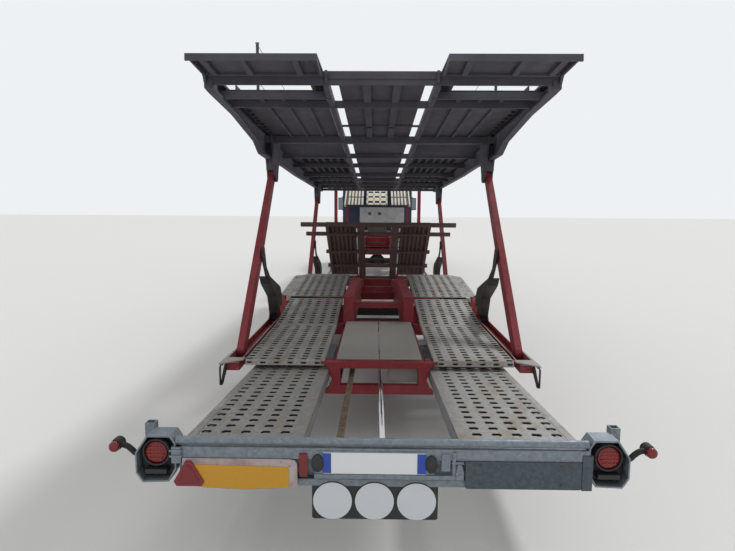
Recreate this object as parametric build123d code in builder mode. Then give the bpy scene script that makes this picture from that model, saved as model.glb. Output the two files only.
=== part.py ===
from build123d import *
from math import cos, radians, sin
import os

os.makedirs("parts", exist_ok=True)

# Frame: +Y is the vehicle's front, +X its right-hand side, +Z up, millimetres.
# The origin is on the ground, in the middle of the overall length.
overall_length = 17826
plate_lamp_depth = 26
half_width = 1250


def fore(distance):
    """Y of a point that lies this far ahead of the extended slider's rear face."""
    return distance + plate_lamp_depth - overall_length / 2


def slab(x, y, z, mode=Mode.ADD):
    """A straight-edged block between its limits along each axis."""
    with Locations(((x[0] + x[1]) / 2, (y[0] + y[1]) / 2, (z[0] + z[1]) / 2)):
        Box(x[1] - x[0], y[1] - y[0], z[1] - z[0], mode=mode)


def side_plate(x, points, radius=0, mode=Mode.ADD):
    """A profile of (distance ahead of the rear face, height) points, between two X limits."""
    with BuildSketch(Plane.YZ.offset(x[0])) as profile:
        Polygon(*[(fore(distance), height) for distance, height in points], align=None)
        if radius:
            fillet(profile.vertices(), radius)
    extrude(profile.sketch, amount=x[1] - x[0], mode=mode)


def cross_plate(y, points, radius=0, mode=Mode.ADD):
    """A profile of (X, height) points, between two Y limits."""
    with BuildSketch(Plane.XZ.offset(-y[0])) as profile:
        Polygon(*points, align=None)
        if radius:
            fillet(profile.vertices(), radius)
    extrude(profile.sketch, amount=y[0] - y[1], mode=mode)


def plan_plate(z, points, radius=0, mode=Mode.ADD):
    """A profile of (X, distance ahead of the rear face) points, between two heights."""
    with BuildSketch(Plane.XY.offset(z[0])) as profile:
        Polygon(*[(x, fore(distance)) for x, distance in points], align=None)
        if radius:
            fillet(profile.vertices(), radius)
    extrude(profile.sketch, amount=z[1] - z[0], mode=mode)


def cross_pin(x, distance, height, radius, mode=Mode.ADD):
    """A round bar along X between two X limits."""
    with BuildSketch(Plane.YZ.offset(x[0])) as section:
        with Locations((fore(distance), height)):
            Circle(radius)
    extrude(section.sketch, amount=x[1] - x[0], mode=mode)


def upright(x, distance, z, radius, mode=Mode.ADD):
    """A round bar along Z between two heights."""
    with BuildSketch(Plane.XY.offset(z[0])) as section:
        with Locations((x, fore(distance))):
            Circle(radius)
    extrude(section.sketch, amount=z[1] - z[0], mode=mode)


def save(builder, name):
    """Label a finished sub-part and write its STEP file."""
    builder.part.label = name
    export_step(builder.part, f"parts/{name}.step")


# Lower deck: stations ahead of the rear face, and track heights there.
deck_rear = 1730
deck_joint = 3140
deck_front = 4200
deck_rear_height = 678
deck_joint_height = 678
deck_front_height = 784
track_inner = 445
track_outer = 1090
plate_thickness = 12


def track_level(distance):
    """Height of the lower tracks' top above the ground."""
    if distance < deck_joint:
        rise = (deck_joint_height - deck_rear_height) / (deck_joint - deck_rear)
        return deck_rear_height + (distance - deck_rear) * rise
    rise = (deck_front_height - deck_joint_height) / (deck_front - deck_joint)
    return deck_joint_height + (distance - deck_joint) * rise


# Wheel covers over the tandem axles.
cover_rear = 4250
cover_crest = 5560
cover_front = 5930
cover_rear_height = 800
cover_crest_height = 897
cover_front_height = 885
wing_drop = 12

# Trailer running gear.
trailer_axle_stations = (4640, 5480)
trailer_tyre_radius = 383.5
trailer_tyre_width = 215
trailer_rim_radius = 222
trailer_wheel_x = 1050

# Tractor running gear.
drive_axle_station = 12750
steer_axle_station = 16430
tractor_tyre_radius = 463
tractor_tyre_width = 290
tractor_rim_radius = 286
steer_wheel_x = 1050
steer_pin_x = 800
twin_inner_x = 745
twin_outer_x = 1080
twin_tyre_width = 270

# Both lift linkages: foot, middle pin and top pin in line on the post, stay as long as half of it.
post_half = 1117
post_angle = 46.1
post_reach = post_half * cos(radians(post_angle))
post_rise = post_half * sin(radians(post_angle))
post_x = (1179, 1239)
stay_x = (1156, 1175)
stay_outer = 1239
stay_inner = 1130
rear_pivot = (3650, 660)
front_pivot = (8420, 460)
pin_clearance = 0.1
post_pin_radius = 28
stay_pin_radius = 32
foot_radius = 60
head_outer = 1228
fork_inner = (1150, 1174)
fork_outer = (1234, half_width)

# Upper deck plane: it falls towards the front.
upper_rear = 1360
upper_front = 9450
upper_height = 2805
upper_slope = 3.3


# Flaps hinged at the upper deck's rear edge.
flap_slope = 5
flap_inner = 405
flap_outer = 1225
flap_length = 370
flap_pin_height = upper_height + 22
flap_pin_station = upper_rear - 22
flap_pin_radius = 14


def upper_level(distance):
    """Height of the upper deck's plane above the ground."""
    return upper_height - (distance - upper_rear) * sin(radians(upper_slope)) / cos(radians(upper_slope))


# Tilting platform ahead of the wheels.
tilt_pivot = (7850, 600)
tilt_angle = 35.1
tilt_length = 1895
tilt_pin_radius = 28

# Side rails of the lift linkages, in which the feet slide.
rail_inner = 1143
rail_outer = 1252
rail_wall = 8
rail_floor_drop = 78
rail_top_drop = 10

# Kingpin and coupling.
kingpin_station = 13100
kingpin_radius = 25
coupling_height = 1120
neck_height = 1330

# Semi-trailer chassis: two deep side members, their cross-members and the neck.
member_inner = 275
member_outer = 385
frame_rear = 1780
member_profile = [
    (frame_rear, 430), (4150, 430), (4400, 500), (5950, 500), (6350, 330), (8500, 330), (9060, 430),
    (9800, coupling_height + 12), (13700, coupling_height + 12), (13700, neck_height - 60),
    (9700, neck_height - 60), (8980, 560), (7000, 540), (6200, 765), (5650, 870), (3420, 945), (3340, 945),
    (3340, 610), (frame_rear, 610),
]

with BuildPart() as trailer_chassis:
    side_plate((member_inner, member_outer), member_profile)
    # The open channel side of each member between the flanges.
    for start, end, low, high in ((1850, 3250, 460, 580), (10100, 13500, 1160, 1240)):
        slab((member_outer - 70, member_outer), (fore(start), fore(end)), (low, high), mode=Mode.SUBTRACT)
    # Outriggers that carry the side rails and the tracks.
    for station, low, high, reach in (
        (1860, 600, 646.5, rail_inner), (3300, 530, 649, rail_inner), (3960, 530, 715, rail_inner),
        (6600, 385, 445, rail_inner), (8300, 385, 445, rail_inner), (8060, 490, 548, 1000),
        (8760, 490, 548, 1000), (10000, 1190, 1268, 1000), (11500, 1190, 1268, 1000),
        (13300, 1190, 1268, 1000),
    ):
        slab((member_outer - 1, reach), (fore(station), fore(station + 60)), (low, high))
    # The members are thinner between the rear tracks.
    slab((member_inner - 1, 322), (fore(frame_rear - 1), fore(3300)), (429, 611), mode=Mode.SUBTRACT)
    # Lugs of the tilting platform's hinge.
    side_plate((352, 384), [(7760, 530), (7940, 530), (7900, tilt_pivot[1]), (7800, tilt_pivot[1])])
    cross_pin((352, 384), tilt_pivot[0], tilt_pivot[1], 52)
    cross_pin((351, 385), tilt_pivot[0], tilt_pivot[1], tilt_pin_radius + pin_clearance, mode=Mode.SUBTRACT)
    # Ears of the rear cross-frame ahead of the tracks' lip.
    slab((430, 474), (fore(deck_rear - 10), fore(deck_rear - 2)), (650, 672))
    mirror(about=Plane.YZ)
    for station, low, high in (
        (3450, 800, 862), (4050, 430, 520), (6450, 400, 520), (7250, 370, 500), (8200, 350, 520),
        (9950, 1150, 1250), (11300, 1150, 1250), (12600, 1150, 1250),
    ):
        slab((-member_inner - 1, member_inner + 1), (fore(station), fore(station + 80)), (low, high))
    # Rear cross-frame: top bar, legs, bottom bar, with half-round notches at its outer sides.
    with BuildSketch(Plane.XZ.offset(-fore(deck_rear + 50))) as rear_frame:
        Polygon(
            (-443, 665), (443, 665), (443, 655), (405, 603), (405, 455), (440, 425), (440, 400), (-440, 400),
            (-440, 425), (-405, 455), (-405, 603), (-443, 655), align=None,
        )
        with Locations((0, 545)):
            Rectangle(636, 140, mode=Mode.SUBTRACT)
        with Locations((-446, 520), (446, 520)):
            Circle(60, mode=Mode.SUBTRACT)
    extrude(rear_frame.sketch, amount=60)
    # Rubbing plate under the neck, with the kingpin.
    slab((-550, 550), (fore(12500), fore(13700)), (coupling_height, coupling_height + 12))
    upright(0, kingpin_station, (coupling_height - 85, coupling_height), kingpin_radius)
save(trailer_chassis, "trailer_chassis")

# Tracks of the lower deck: folded plates with a dropped rear lip and cross stiffeners.
with BuildPart() as lower_tracks:
    side_plate(
        (track_inner, track_outer),
        [
            (deck_rear, deck_rear_height - 44), (deck_rear + 10, deck_rear_height - 44),
            (deck_rear + 28, deck_rear_height - plate_thickness),
            (deck_joint, deck_joint_height - plate_thickness),
            (deck_front, deck_front_height - plate_thickness), (deck_front, deck_front_height),
            (deck_joint, deck_joint_height), (deck_rear + 20, deck_rear_height),
        ],
    )
    for station in (2200, 2670, 3140, 3620, 4120):
        level = track_level(station)
        slab((track_inner, track_outer), (fore(station), fore(station + 40)), (level - 42, level - 8))
    # Inner and outer folded edges.
    for edge in (track_inner, track_outer - 8):
        side_plate(
            (edge, edge + 8),
            [
                (deck_rear + 60, deck_rear_height - 30), (deck_joint, deck_joint_height - 45),
                (deck_front, deck_front_height - 45), (deck_front, deck_front_height - 5),
                (deck_joint, deck_joint_height - 5), (deck_rear + 60, deck_rear_height - 5),
            ],
        )
    # Notches in the dropped lip.
    for notch_x in (570, 681, 792, 903, 1014):
        with BuildSketch(Plane.XZ.offset(-fore(deck_rear - 5))) as notch:
            with Locations((notch_x, deck_rear_height - 44)):
                Circle(27)
        extrude(notch.sketch, amount=-25, mode=Mode.SUBTRACT)
    # Tracks ahead of the tandem: a short low bay, the ramp up the gooseneck and the neck.
    side_plate(
        (410, 1000),
        [
            (8000, 560), (8900, 560), (9750, neck_height - 20), (13690, neck_height - 20),
            (13690, neck_height), (9740, neck_height), (8880, 580), (8000, 580),
        ],
    )
    for edge in (410, 990):
        side_plate(
            (edge, edge + 10),
            [
                (8000, 550), (8900, 550), (9770, neck_height - 60), (13690, neck_height - 60),
                (13690, neck_height + 25), (9730, neck_height + 25), (8880, 605), (8000, 605),
            ],
        )
    for station in (10400, 11200, 12000, 12800, 13500):
        slab((410, 1000), (fore(station), fore(station + 50)), (neck_height - 60, neck_height - 15))
    mirror(about=Plane.YZ)
save(lower_tracks, "lower_tracks")

# Wheel covers: raised perforated tracks, outer wings with chamfered corners and a curved rear valance.
with BuildPart() as wheel_covers:
    side_plate(
        (track_inner, track_outer + 25),
        [
            (cover_rear, cover_rear_height - 35), (cover_rear + 15, cover_rear_height - 35),
            (cover_rear + 25, cover_rear_height - plate_thickness),
            (cover_crest, cover_crest_height - plate_thickness),
            (cover_front, cover_front_height - plate_thickness), (cover_front, cover_front_height),
            (cover_crest, cover_crest_height), (cover_rear, cover_rear_height),
        ],
    )
    # Outer wings: bent sheets with a dropped rear edge and chamfered corners.
    side_plate(
        (track_outer + 20, half_width),
        [
            (cover_rear, cover_rear_height - 60), (cover_rear + 10, cover_rear_height - 60),
            (cover_rear + 38, cover_rear_height - 23),
            (cover_rear + 104, cover_rear_height - 8), (cover_crest, cover_crest_height - 22),
            (cover_front, cover_front_height - 22), (cover_front, cover_front_height - wing_drop),
            (cover_crest, cover_crest_height - wing_drop), (cover_rear + 100, cover_rear_height + 3),
            (cover_rear + 28, cover_rear_height - 13),
        ],
    )
    for corner in (
        [(half_width - 90, cover_rear - 1), (half_width + 1, cover_rear - 1),
         (half_width + 1, cover_rear + 130)],
        [(half_width - 90, cover_front + 1), (half_width + 1, cover_front + 1),
         (half_width + 1, cover_front - 160)],
    ):
        plan_plate((735, 920), corner, mode=Mode.SUBTRACT)
    # Turned-down outer edge of the wing.
    side_plate(
        (half_width - 10, half_width),
        [
            (cover_rear + 128, cover_rear_height - 45), (cover_crest, cover_crest_height - 62),
            (cover_front - 158, cover_front_height - 58), (cover_front - 158, cover_front_height - 12),
            (cover_crest, cover_crest_height - 14), (cover_rear + 128, cover_rear_height + 2),
        ],
    )
    # Curved valance behind the rear wheel.
    with BuildSketch(Plane.YZ.offset(track_outer + 28)) as valance:
        with Locations((fore(trailer_axle_stations[0]), trailer_tyre_radius)):
            Circle(trailer_tyre_radius + 110)
            Circle(trailer_tyre_radius + 98, mode=Mode.SUBTRACT)
        with Locations((fore(cover_rear - 70), 689)):
            Rectangle(520, 222, mode=Mode.INTERSECT)
    extrude(valance.sketch, amount=half_width - track_outer - 30)
    # Brackets down to the chassis members.
    for station, top in ((5000, 845), (5880, 876)):
        slab((track_inner, track_inner + 60), (fore(station), fore(station + 40)), (700, top))
        slab((member_outer, track_inner + 1), (fore(station), fore(station + 40)), (700, 770))
    mirror(about=Plane.YZ)
save(wheel_covers, "wheel_covers")

# Side rails: open-topped channels in which the feet of the posts slide, with cheeks and pins for the stays.
corner_tip_x = half_width + 20
corner_tip_station = 1600
strap_thickness = 8
with BuildPart() as side_rails:
    for start, end, (pivot_distance, pivot_height) in ((1745, 3860, rear_pivot), (6560, 8620, front_pivot)):
        floor = pivot_height - rail_floor_drop
        top = pivot_height - rail_top_drop
        slab((rail_inner, rail_outer), (fore(start), fore(end)), (floor, floor + rail_wall))
        for wall_x in (rail_inner, rail_outer - rail_wall):
            slab((wall_x, wall_x + rail_wall), (fore(start), fore(end)), (floor, top))
            side_plate(
                (wall_x, wall_x + rail_wall),
                [(pivot_distance - 110, top - 1), (pivot_distance + 110, top - 1),
                 (pivot_distance + 55, pivot_height + 45), (pivot_distance - 55, pivot_height + 45)],
            )
        slab((rail_inner, rail_outer), (fore(start), fore(start + rail_wall)), (floor, top))
        slab((rail_inner, rail_outer), (fore(end - rail_wall), fore(end)), (floor, top))
        cross_pin((rail_inner + rail_wall - 1, rail_outer - rail_wall + 1), pivot_distance, pivot_height,
                  stay_pin_radius)
    # Pointed corner plates at the deck's rear edge, on the raised rear end of the rail.
    slab((rail_inner, rail_outer), (fore(1745), fore(1745 + rail_wall)), (640, deck_rear_height - 7))
    plan_plate(
        (deck_rear_height - 8, deck_rear_height),
        [(track_outer + 12, 1735), (corner_tip_x, corner_tip_station),
         (corner_tip_x, corner_tip_station + 50),
         (rail_outer + 4, 2080), (rail_outer - rail_wall, 2080), (rail_outer - rail_wall, 1795),
         (track_outer + 20, 1795)],
    )
    slab((rail_outer - rail_wall, rail_outer), (fore(1745), fore(2080)), (640, deck_rear_height - 7))
    # Bent straps under the corner plates and their braces to the rail.
    cross_plate(
        (fore(corner_tip_station + 8), fore(corner_tip_station + 33)),
        [(corner_tip_x - strap_thickness, 500), (corner_tip_x, 500), (corner_tip_x, 645),
         (corner_tip_x - 12, 671),
         (corner_tip_x - 30, 671), (corner_tip_x - 30, 662), (corner_tip_x - 18, 661),
         (corner_tip_x - strap_thickness, 642)],
    )
    side_plate((rail_outer - 4, corner_tip_x - 6),
               [(1608, 500), (1640, 500), (1765, 590), (1765, 640), (1745, 640)])
    mirror(about=Plane.YZ)
save(side_rails, "side_rails")

# Platform of two gritted plates between the rear tracks.
with BuildPart() as centre_platform:
    for side in (-1, 1):
        inner, outer = sorted((side * 4, side * 350))
        slab((inner, outer), (fore(deck_rear + 60), fore(3300)), (668, 676))
    slab((-350, 350), (fore(1900), fore(1960)), (610, 669))
    slab((-350, 350), (fore(3100), fore(3160)), (610, 669))
    # Valve box under the platform, behind the right half of the rear cross-frame.
    slab((75, 318), (fore(1800), fore(2050)), (480, 632))
save(centre_platform, "centre_platform")

# Trailer axles: straight round tubes with stub ends, hangers and air bellows seats.
axle_stub_radius = 45
trailer_hub_inner = trailer_wheel_x - trailer_tyre_width / 2 - 20
with BuildPart() as trailer_axles:
    for station in trailer_axle_stations:
        cross_pin((-trailer_hub_inner + 5, trailer_hub_inner - 5), station, trailer_tyre_radius, 63)
        cross_pin((-trailer_wheel_x - 40, trailer_wheel_x + 40),
                  station, trailer_tyre_radius, axle_stub_radius)
        for side in (-1, 1):
            low, high = sorted((side * (member_inner + 10), side * (member_outer - 10)))
            slab((low, high), (fore(station - 60), fore(station + 60)), (trailer_tyre_radius + 40, 500))
            low, high = sorted((side * 560, side * 640))
            side_plate(
                (low, high),
                [(station - 420, 520), (station - 340, 520), (station + 80, 420), (station + 80, 330),
                 (station - 60, 330)],
            )
            low, high = sorted((side * member_outer, side * 641))
            slab((low, high), (fore(station - 400), fore(station - 350)), (505, 535))
save(trailer_axles, "trailer_axles")

# Landing legs under the neck, raised for the road, with their feet and brace.
with BuildPart() as landing_legs:
    slab((590, 690), (fore(10900), fore(11000)), (520, 1190))
    slab((605, 675), (fore(10915), fore(10985)), (360, 530))
    slab((560, 720), (fore(10880), fore(11020)), (345, 361))
    slab((member_outer, 591), (fore(10910), fore(10990)), (1150, 1230))
    mirror(about=Plane.YZ)
    slab((-595, 595), (fore(10925), fore(10975)), (640, 690))
save(landing_legs, "landing_legs")

# Masts at the kingpin that guide and lift the front upper deck.
mast_station = 13100
mast_x = (1130, 1215)
mast_top = 3050
with BuildPart() as front_masts:
    slab(mast_x, (fore(mast_station - 60), fore(mast_station + 60)), (coupling_height + 30, mast_top))
    slab((mast_x[0] + 14, mast_x[1] + 10), (fore(mast_station - 25), fore(mast_station + 25)),
         (1500, mast_top + 5), mode=Mode.SUBTRACT)
    slab((member_outer, mast_x[0] + 1), (fore(mast_station - 70), fore(mast_station + 70)), (1150, 1255))
    side_plate((mast_x[0], mast_x[0] + 12), [(12750, 1160), (13450, 1160), (13140, 1650), (13060, 1650)])
    mirror(about=Plane.YZ)
save(front_masts, "front_masts")

# Rear slider. Its plane falls towards the front so that it runs in under the lower deck.
slider_slope = 3.4
slider_height = 705
slider_inner = 410
slider_outer = 1030
slider_front = 2900


def slider_level(distance):
    """Height of the slider's track plane above the ground."""
    return slider_height - distance * sin(radians(slider_slope)) / cos(radians(slider_slope))


slider_plane = Plane(
    origin=(0, fore(0), slider_height),
    x_dir=(1, 0, 0),
    z_dir=(0, sin(radians(slider_slope)), cos(radians(slider_slope))),
)
slot_columns = (475, 580, 685, 790, 895)
slot_first_row = 150
slot_pitch = 93.3
slot_rows = 16
slot_length = 40
slot_width = 48
slot_flat = 13
cowl_x = 1133
cowl_height = 645

with BuildPart() as slider_tracks:
    with BuildSketch(slider_plane.offset(-8)):
        with Locations(((slider_inner + slider_outer) / 2, 30 + (slider_front - 700) / 2)):
            Rectangle(slider_outer - slider_inner, slider_front - 700 - 60)
        slot_grid = [(x, slot_first_row + row * slot_pitch) for x in slot_columns for row in range(slot_rows)]
        with Locations(*slot_grid):
            Polygon(
                (-slot_width / 2, 0), (-slot_flat, -slot_length / 2), (slot_flat, -slot_length / 2),
                (slot_width / 2, 0), (slot_flat, slot_length / 2), (-slot_flat, slot_length / 2),
                mode=Mode.SUBTRACT,
            )
    extrude(amount=8)
    # Bevelled inner edge and raised outer strip.
    with BuildSketch(slider_plane.offset(-60)):
        for x in (slider_inner + 5, slider_outer - 5):
            with Locations((x, 60 + (slider_front - 700) / 2)):
                Rectangle(10, slider_front - 700 - 120)
    extrude(amount=56)
    mirror(about=Plane.YZ)
save(slider_tracks, "slider_tracks")

# Slider frame: two runners, cross-members, rear bumper beam with its tubes and the lamp housings.
with BuildPart() as slider_frame:
    for x in ((slider_inner + 12, slider_inner + 82), (slider_outer - 82, slider_outer - 12)):
        side_plate(
            x,
            [
                (20, slider_level(20) - 140), (slider_front, slider_level(slider_front) - 110),
                (slider_front, slider_level(slider_front) - 10), (20, slider_level(20) - 10),
            ],
        )
    slab((slider_inner + 13, slider_outer - 13), (fore(slider_front - 90), fore(slider_front - 10)),
         (slider_level(slider_front) - 100, slider_level(slider_front) - 20))
    mirror(about=Plane.YZ)
    # Bumper: top flat bar, two tubes and the deep channel that carries boards and plate.
    slab((-slider_outer - 4, slider_outer + 4), (fore(0), fore(59)), (655, 712))
    slab((-slider_outer + 10, slider_outer - 10), (fore(20), fore(100)), (505, 656))
    slab((-slider_outer + 30, slider_outer - 30), (fore(10), fore(61)), (540, 625), mode=Mode.SUBTRACT)
    for height, station, radius in ((740, 18, 20), (690, 23, 14)):
        cross_pin((-slider_outer, slider_outer), station, height, radius)
    # Hexagonal lamp cowls outboard of the bumper, open at the rear.
    for side in (-1, 1):
        cowl = [(-102, -50), (-63, -120), (72, -125), (104, -75), (104, 30), (42, 122), (-78, 122),
                (-102, 85)]
        with BuildSketch(Plane.XZ.offset(-fore(110))) as cowl_section:
            with Locations((side * cowl_x, cowl_height)):
                Polygon(*[(side * x, z) for x, z in cowl], align=None)
        extrude(cowl_section.sketch, amount=110)
        with BuildSketch(Plane.XZ.offset(-fore(102))) as cowl_hollow:
            with Locations((side * cowl_x, cowl_height)):
                Polygon(*[(side * x * 0.93, z * 0.93) for x, z in cowl], align=None)
        extrude(cowl_hollow.sketch, amount=110, mode=Mode.SUBTRACT)
        # Square hollow stub ahead of the cowl.
        low, high = sorted((side * 1175, side * 1225))
        slab((low, high), (fore(103), fore(153)), (640, 790))
        slab((low + 6, high - 6), (fore(111), fore(147)), (648, 791), mode=Mode.SUBTRACT)
save(slider_frame, "slider_frame")

# Chrome rod of the slider's ram and the guide bar beside it.
with BuildPart() as slider_rod:
    for x, radius in ((10, 17), (-230, 22)):
        rod_plane = Plane(
            origin=(x, fore(101), slider_level(101) - 75),
            x_dir=(1, 0, 0),
            z_dir=(0, cos(radians(slider_slope)), -sin(radians(slider_slope))),
        )
        with BuildSketch(rod_plane):
            if x > 0:
                Circle(radius)
            else:
                Rectangle(radius * 2, radius)
        extrude(amount=slider_front - 160)
save(slider_rod, "slider_rod")

# Blank number plate with its two lamps on a small carrier.
plate_x = -35
with BuildPart() as number_plate:
    slab((plate_x - 260, plate_x + 260), (fore(-6), fore(0)), (583, 693))
    slab((plate_x - 300, plate_x + 300), (fore(0), fore(9)), (565, 655))
    for side in (-1, 1):
        with BuildSketch(Plane.XZ.offset(-fore(0))) as lamp_outline:
            with Locations((plate_x + side * 300, 638)):
                Ellipse(34, 42)
        extrude(lamp_outline.sketch, amount=plate_lamp_depth)
save(number_plate, "number_plate")

# Warning boards: the painted one on the left, bare steel on the right.
with BuildPart() as warning_boards:
    with BuildSketch(Plane.XZ.offset(-fore(0))) as left_board:
        Polygon(
            (-1000, 650), (-420, 650), (-385, 620), (-385, 505), (-700, 495), (-960, 510), (-1000, 540),
            align=None,
        )
    extrude(left_board.sketch, amount=8)
    with BuildSketch(Plane.XZ.offset(-fore(0))) as right_board:
        Polygon((420, 655), (1000, 655), (1000, 515), (420, 515), align=None)
        fillet(right_board.vertices(), 12)
    extrude(right_board.sketch, amount=8)
save(warning_boards, "warning_boards")

# Round rear lamps in the cowls, and marker lamps on curved rubber arms.
with BuildPart() as rear_lamps:
    for side in (-1, 1):
        with BuildSketch(Plane.XZ.offset(-fore(102))) as lens:
            with Locations((side * 1140, 668)):
                Circle(62)
        extrude(lens.sketch, amount=87)
        with BuildSketch(Plane.XZ.offset(-fore(102))) as lower_lens:
            with Locations((side * 1140, 572)):
                Rectangle(110, 26)
        extrude(lower_lens.sketch, amount=82)
        arm_root = side * (cowl_x + 104)
        with BuildLine() as arm_path:
            Polyline((arm_root, fore(70), 648), (side * 1290, fore(70), 648), (side * 1340, fore(70), 708))
        with BuildSketch(Plane(origin=(arm_root, fore(70), 648), z_dir=(side, 0, 0))) as arm_section:
            Rectangle(26, 34)
        sweep(arm_section.sketch, path=arm_path.line, transition=Transition.ROUND)
        with BuildSketch(Plane.XZ.offset(-fore(110))) as marker:
            with Locations((side * 1340, 715)):
                Circle(30)
        extrude(marker.sketch, amount=85)
save(rear_lamps, "rear_lamps")

# Three blank speed discs on a hanging panel.
with BuildPart() as speed_discs:
    slab((-350, 290), (fore(20), fore(26)), (330, 505))
    with BuildSketch(Plane.XZ.offset(-fore(20))) as discs:
        with Locations((-245, 427), (-32, 427), (181, 427)):
            Circle(101)
    extrude(discs.sketch, amount=5)
save(speed_discs, "speed_discs")

# Lift linkages. Each post slides on its foot, a bent stay holds its middle, and its top carries the deck.
for place, (pivot_distance, pivot_height) in (("rear", rear_pivot), ("front", front_pivot)):
    with BuildPart() as posts:
        post_plane = Plane(
            origin=(post_x[0], fore(pivot_distance - 2 * post_reach), pivot_height),
            x_dir=(0, cos(radians(post_angle)), sin(radians(post_angle))),
            z_dir=(1, 0, 0),
        )
        with BuildSketch(post_plane) as post_profile:
            Polygon((0, -58), (300, -75), (post_half, -78), (post_half * 2, -55), (post_half * 2, 55),
                    (post_half, 62), (0, 58), align=None)
            Circle(foot_radius)
            with Locations((post_half * 2, 0)):
                Circle(72)
                Circle(post_pin_radius + pin_clearance, mode=Mode.SUBTRACT)
        extrude(post_profile.sketch, amount=post_x[1] - post_x[0])
        # The head is thinner, between the cheeks of the deck's fork.
        cross_pin((head_outer, post_x[1] + 1), pivot_distance, pivot_height + 2 * post_rise, 96,
                  mode=Mode.SUBTRACT)
        cross_pin((stay_x[0] - 6, post_x[0] + 1), pivot_distance - post_reach, pivot_height + post_rise,
                  post_pin_radius)
        mirror(about=Plane.YZ)
    save(posts, f"{place}_posts")

    # Each stay is a bent box over the rail that narrows to one cheek beside the post.
    with BuildPart() as stays:
        middle_distance = pivot_distance - post_reach
        middle_height = pivot_height + post_rise
        for x, outline in (
            (stay_x, [(-60, 0), (-125, 56), (-220, 262), (-560, 450), (-832, 760), (-815, 850), (-728, 848),
                      (-640, 640), (-400, 475), (0, 345), (95, 240), (105, 70), (60, 0)]),
            ((stay_x[1] - 1, stay_outer), [(-60, 0), (-125, 56), (-220, 262), (-560, 450), (-640, 550), (0, 345),
                                           (95, 240), (105, 70), (60, 0)]),
            ((stay_inner, stay_x[0] + 1), [(-155, 125), (-220, 262), (-560, 450), (-640, 550), (0, 345), (95, 240),
                                           (103, 125)]),
        ):
            side_plate(x, [(pivot_distance + ahead, pivot_height + rise) for ahead, rise in outline],
                       radius=12)
        cross_pin((stay_x[0], stay_outer), pivot_distance, pivot_height, foot_radius)
        cross_pin((stay_x[0] - 1, stay_outer + 1),
                  pivot_distance, pivot_height, stay_pin_radius + pin_clearance,
                  mode=Mode.SUBTRACT)
        cross_pin((stay_x[0] - 1, stay_x[1] + 1),
                  middle_distance, middle_height, post_pin_radius + pin_clearance,
                  mode=Mode.SUBTRACT)
        mirror(about=Plane.YZ)
    save(stays, f"{place}_stays")

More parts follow.
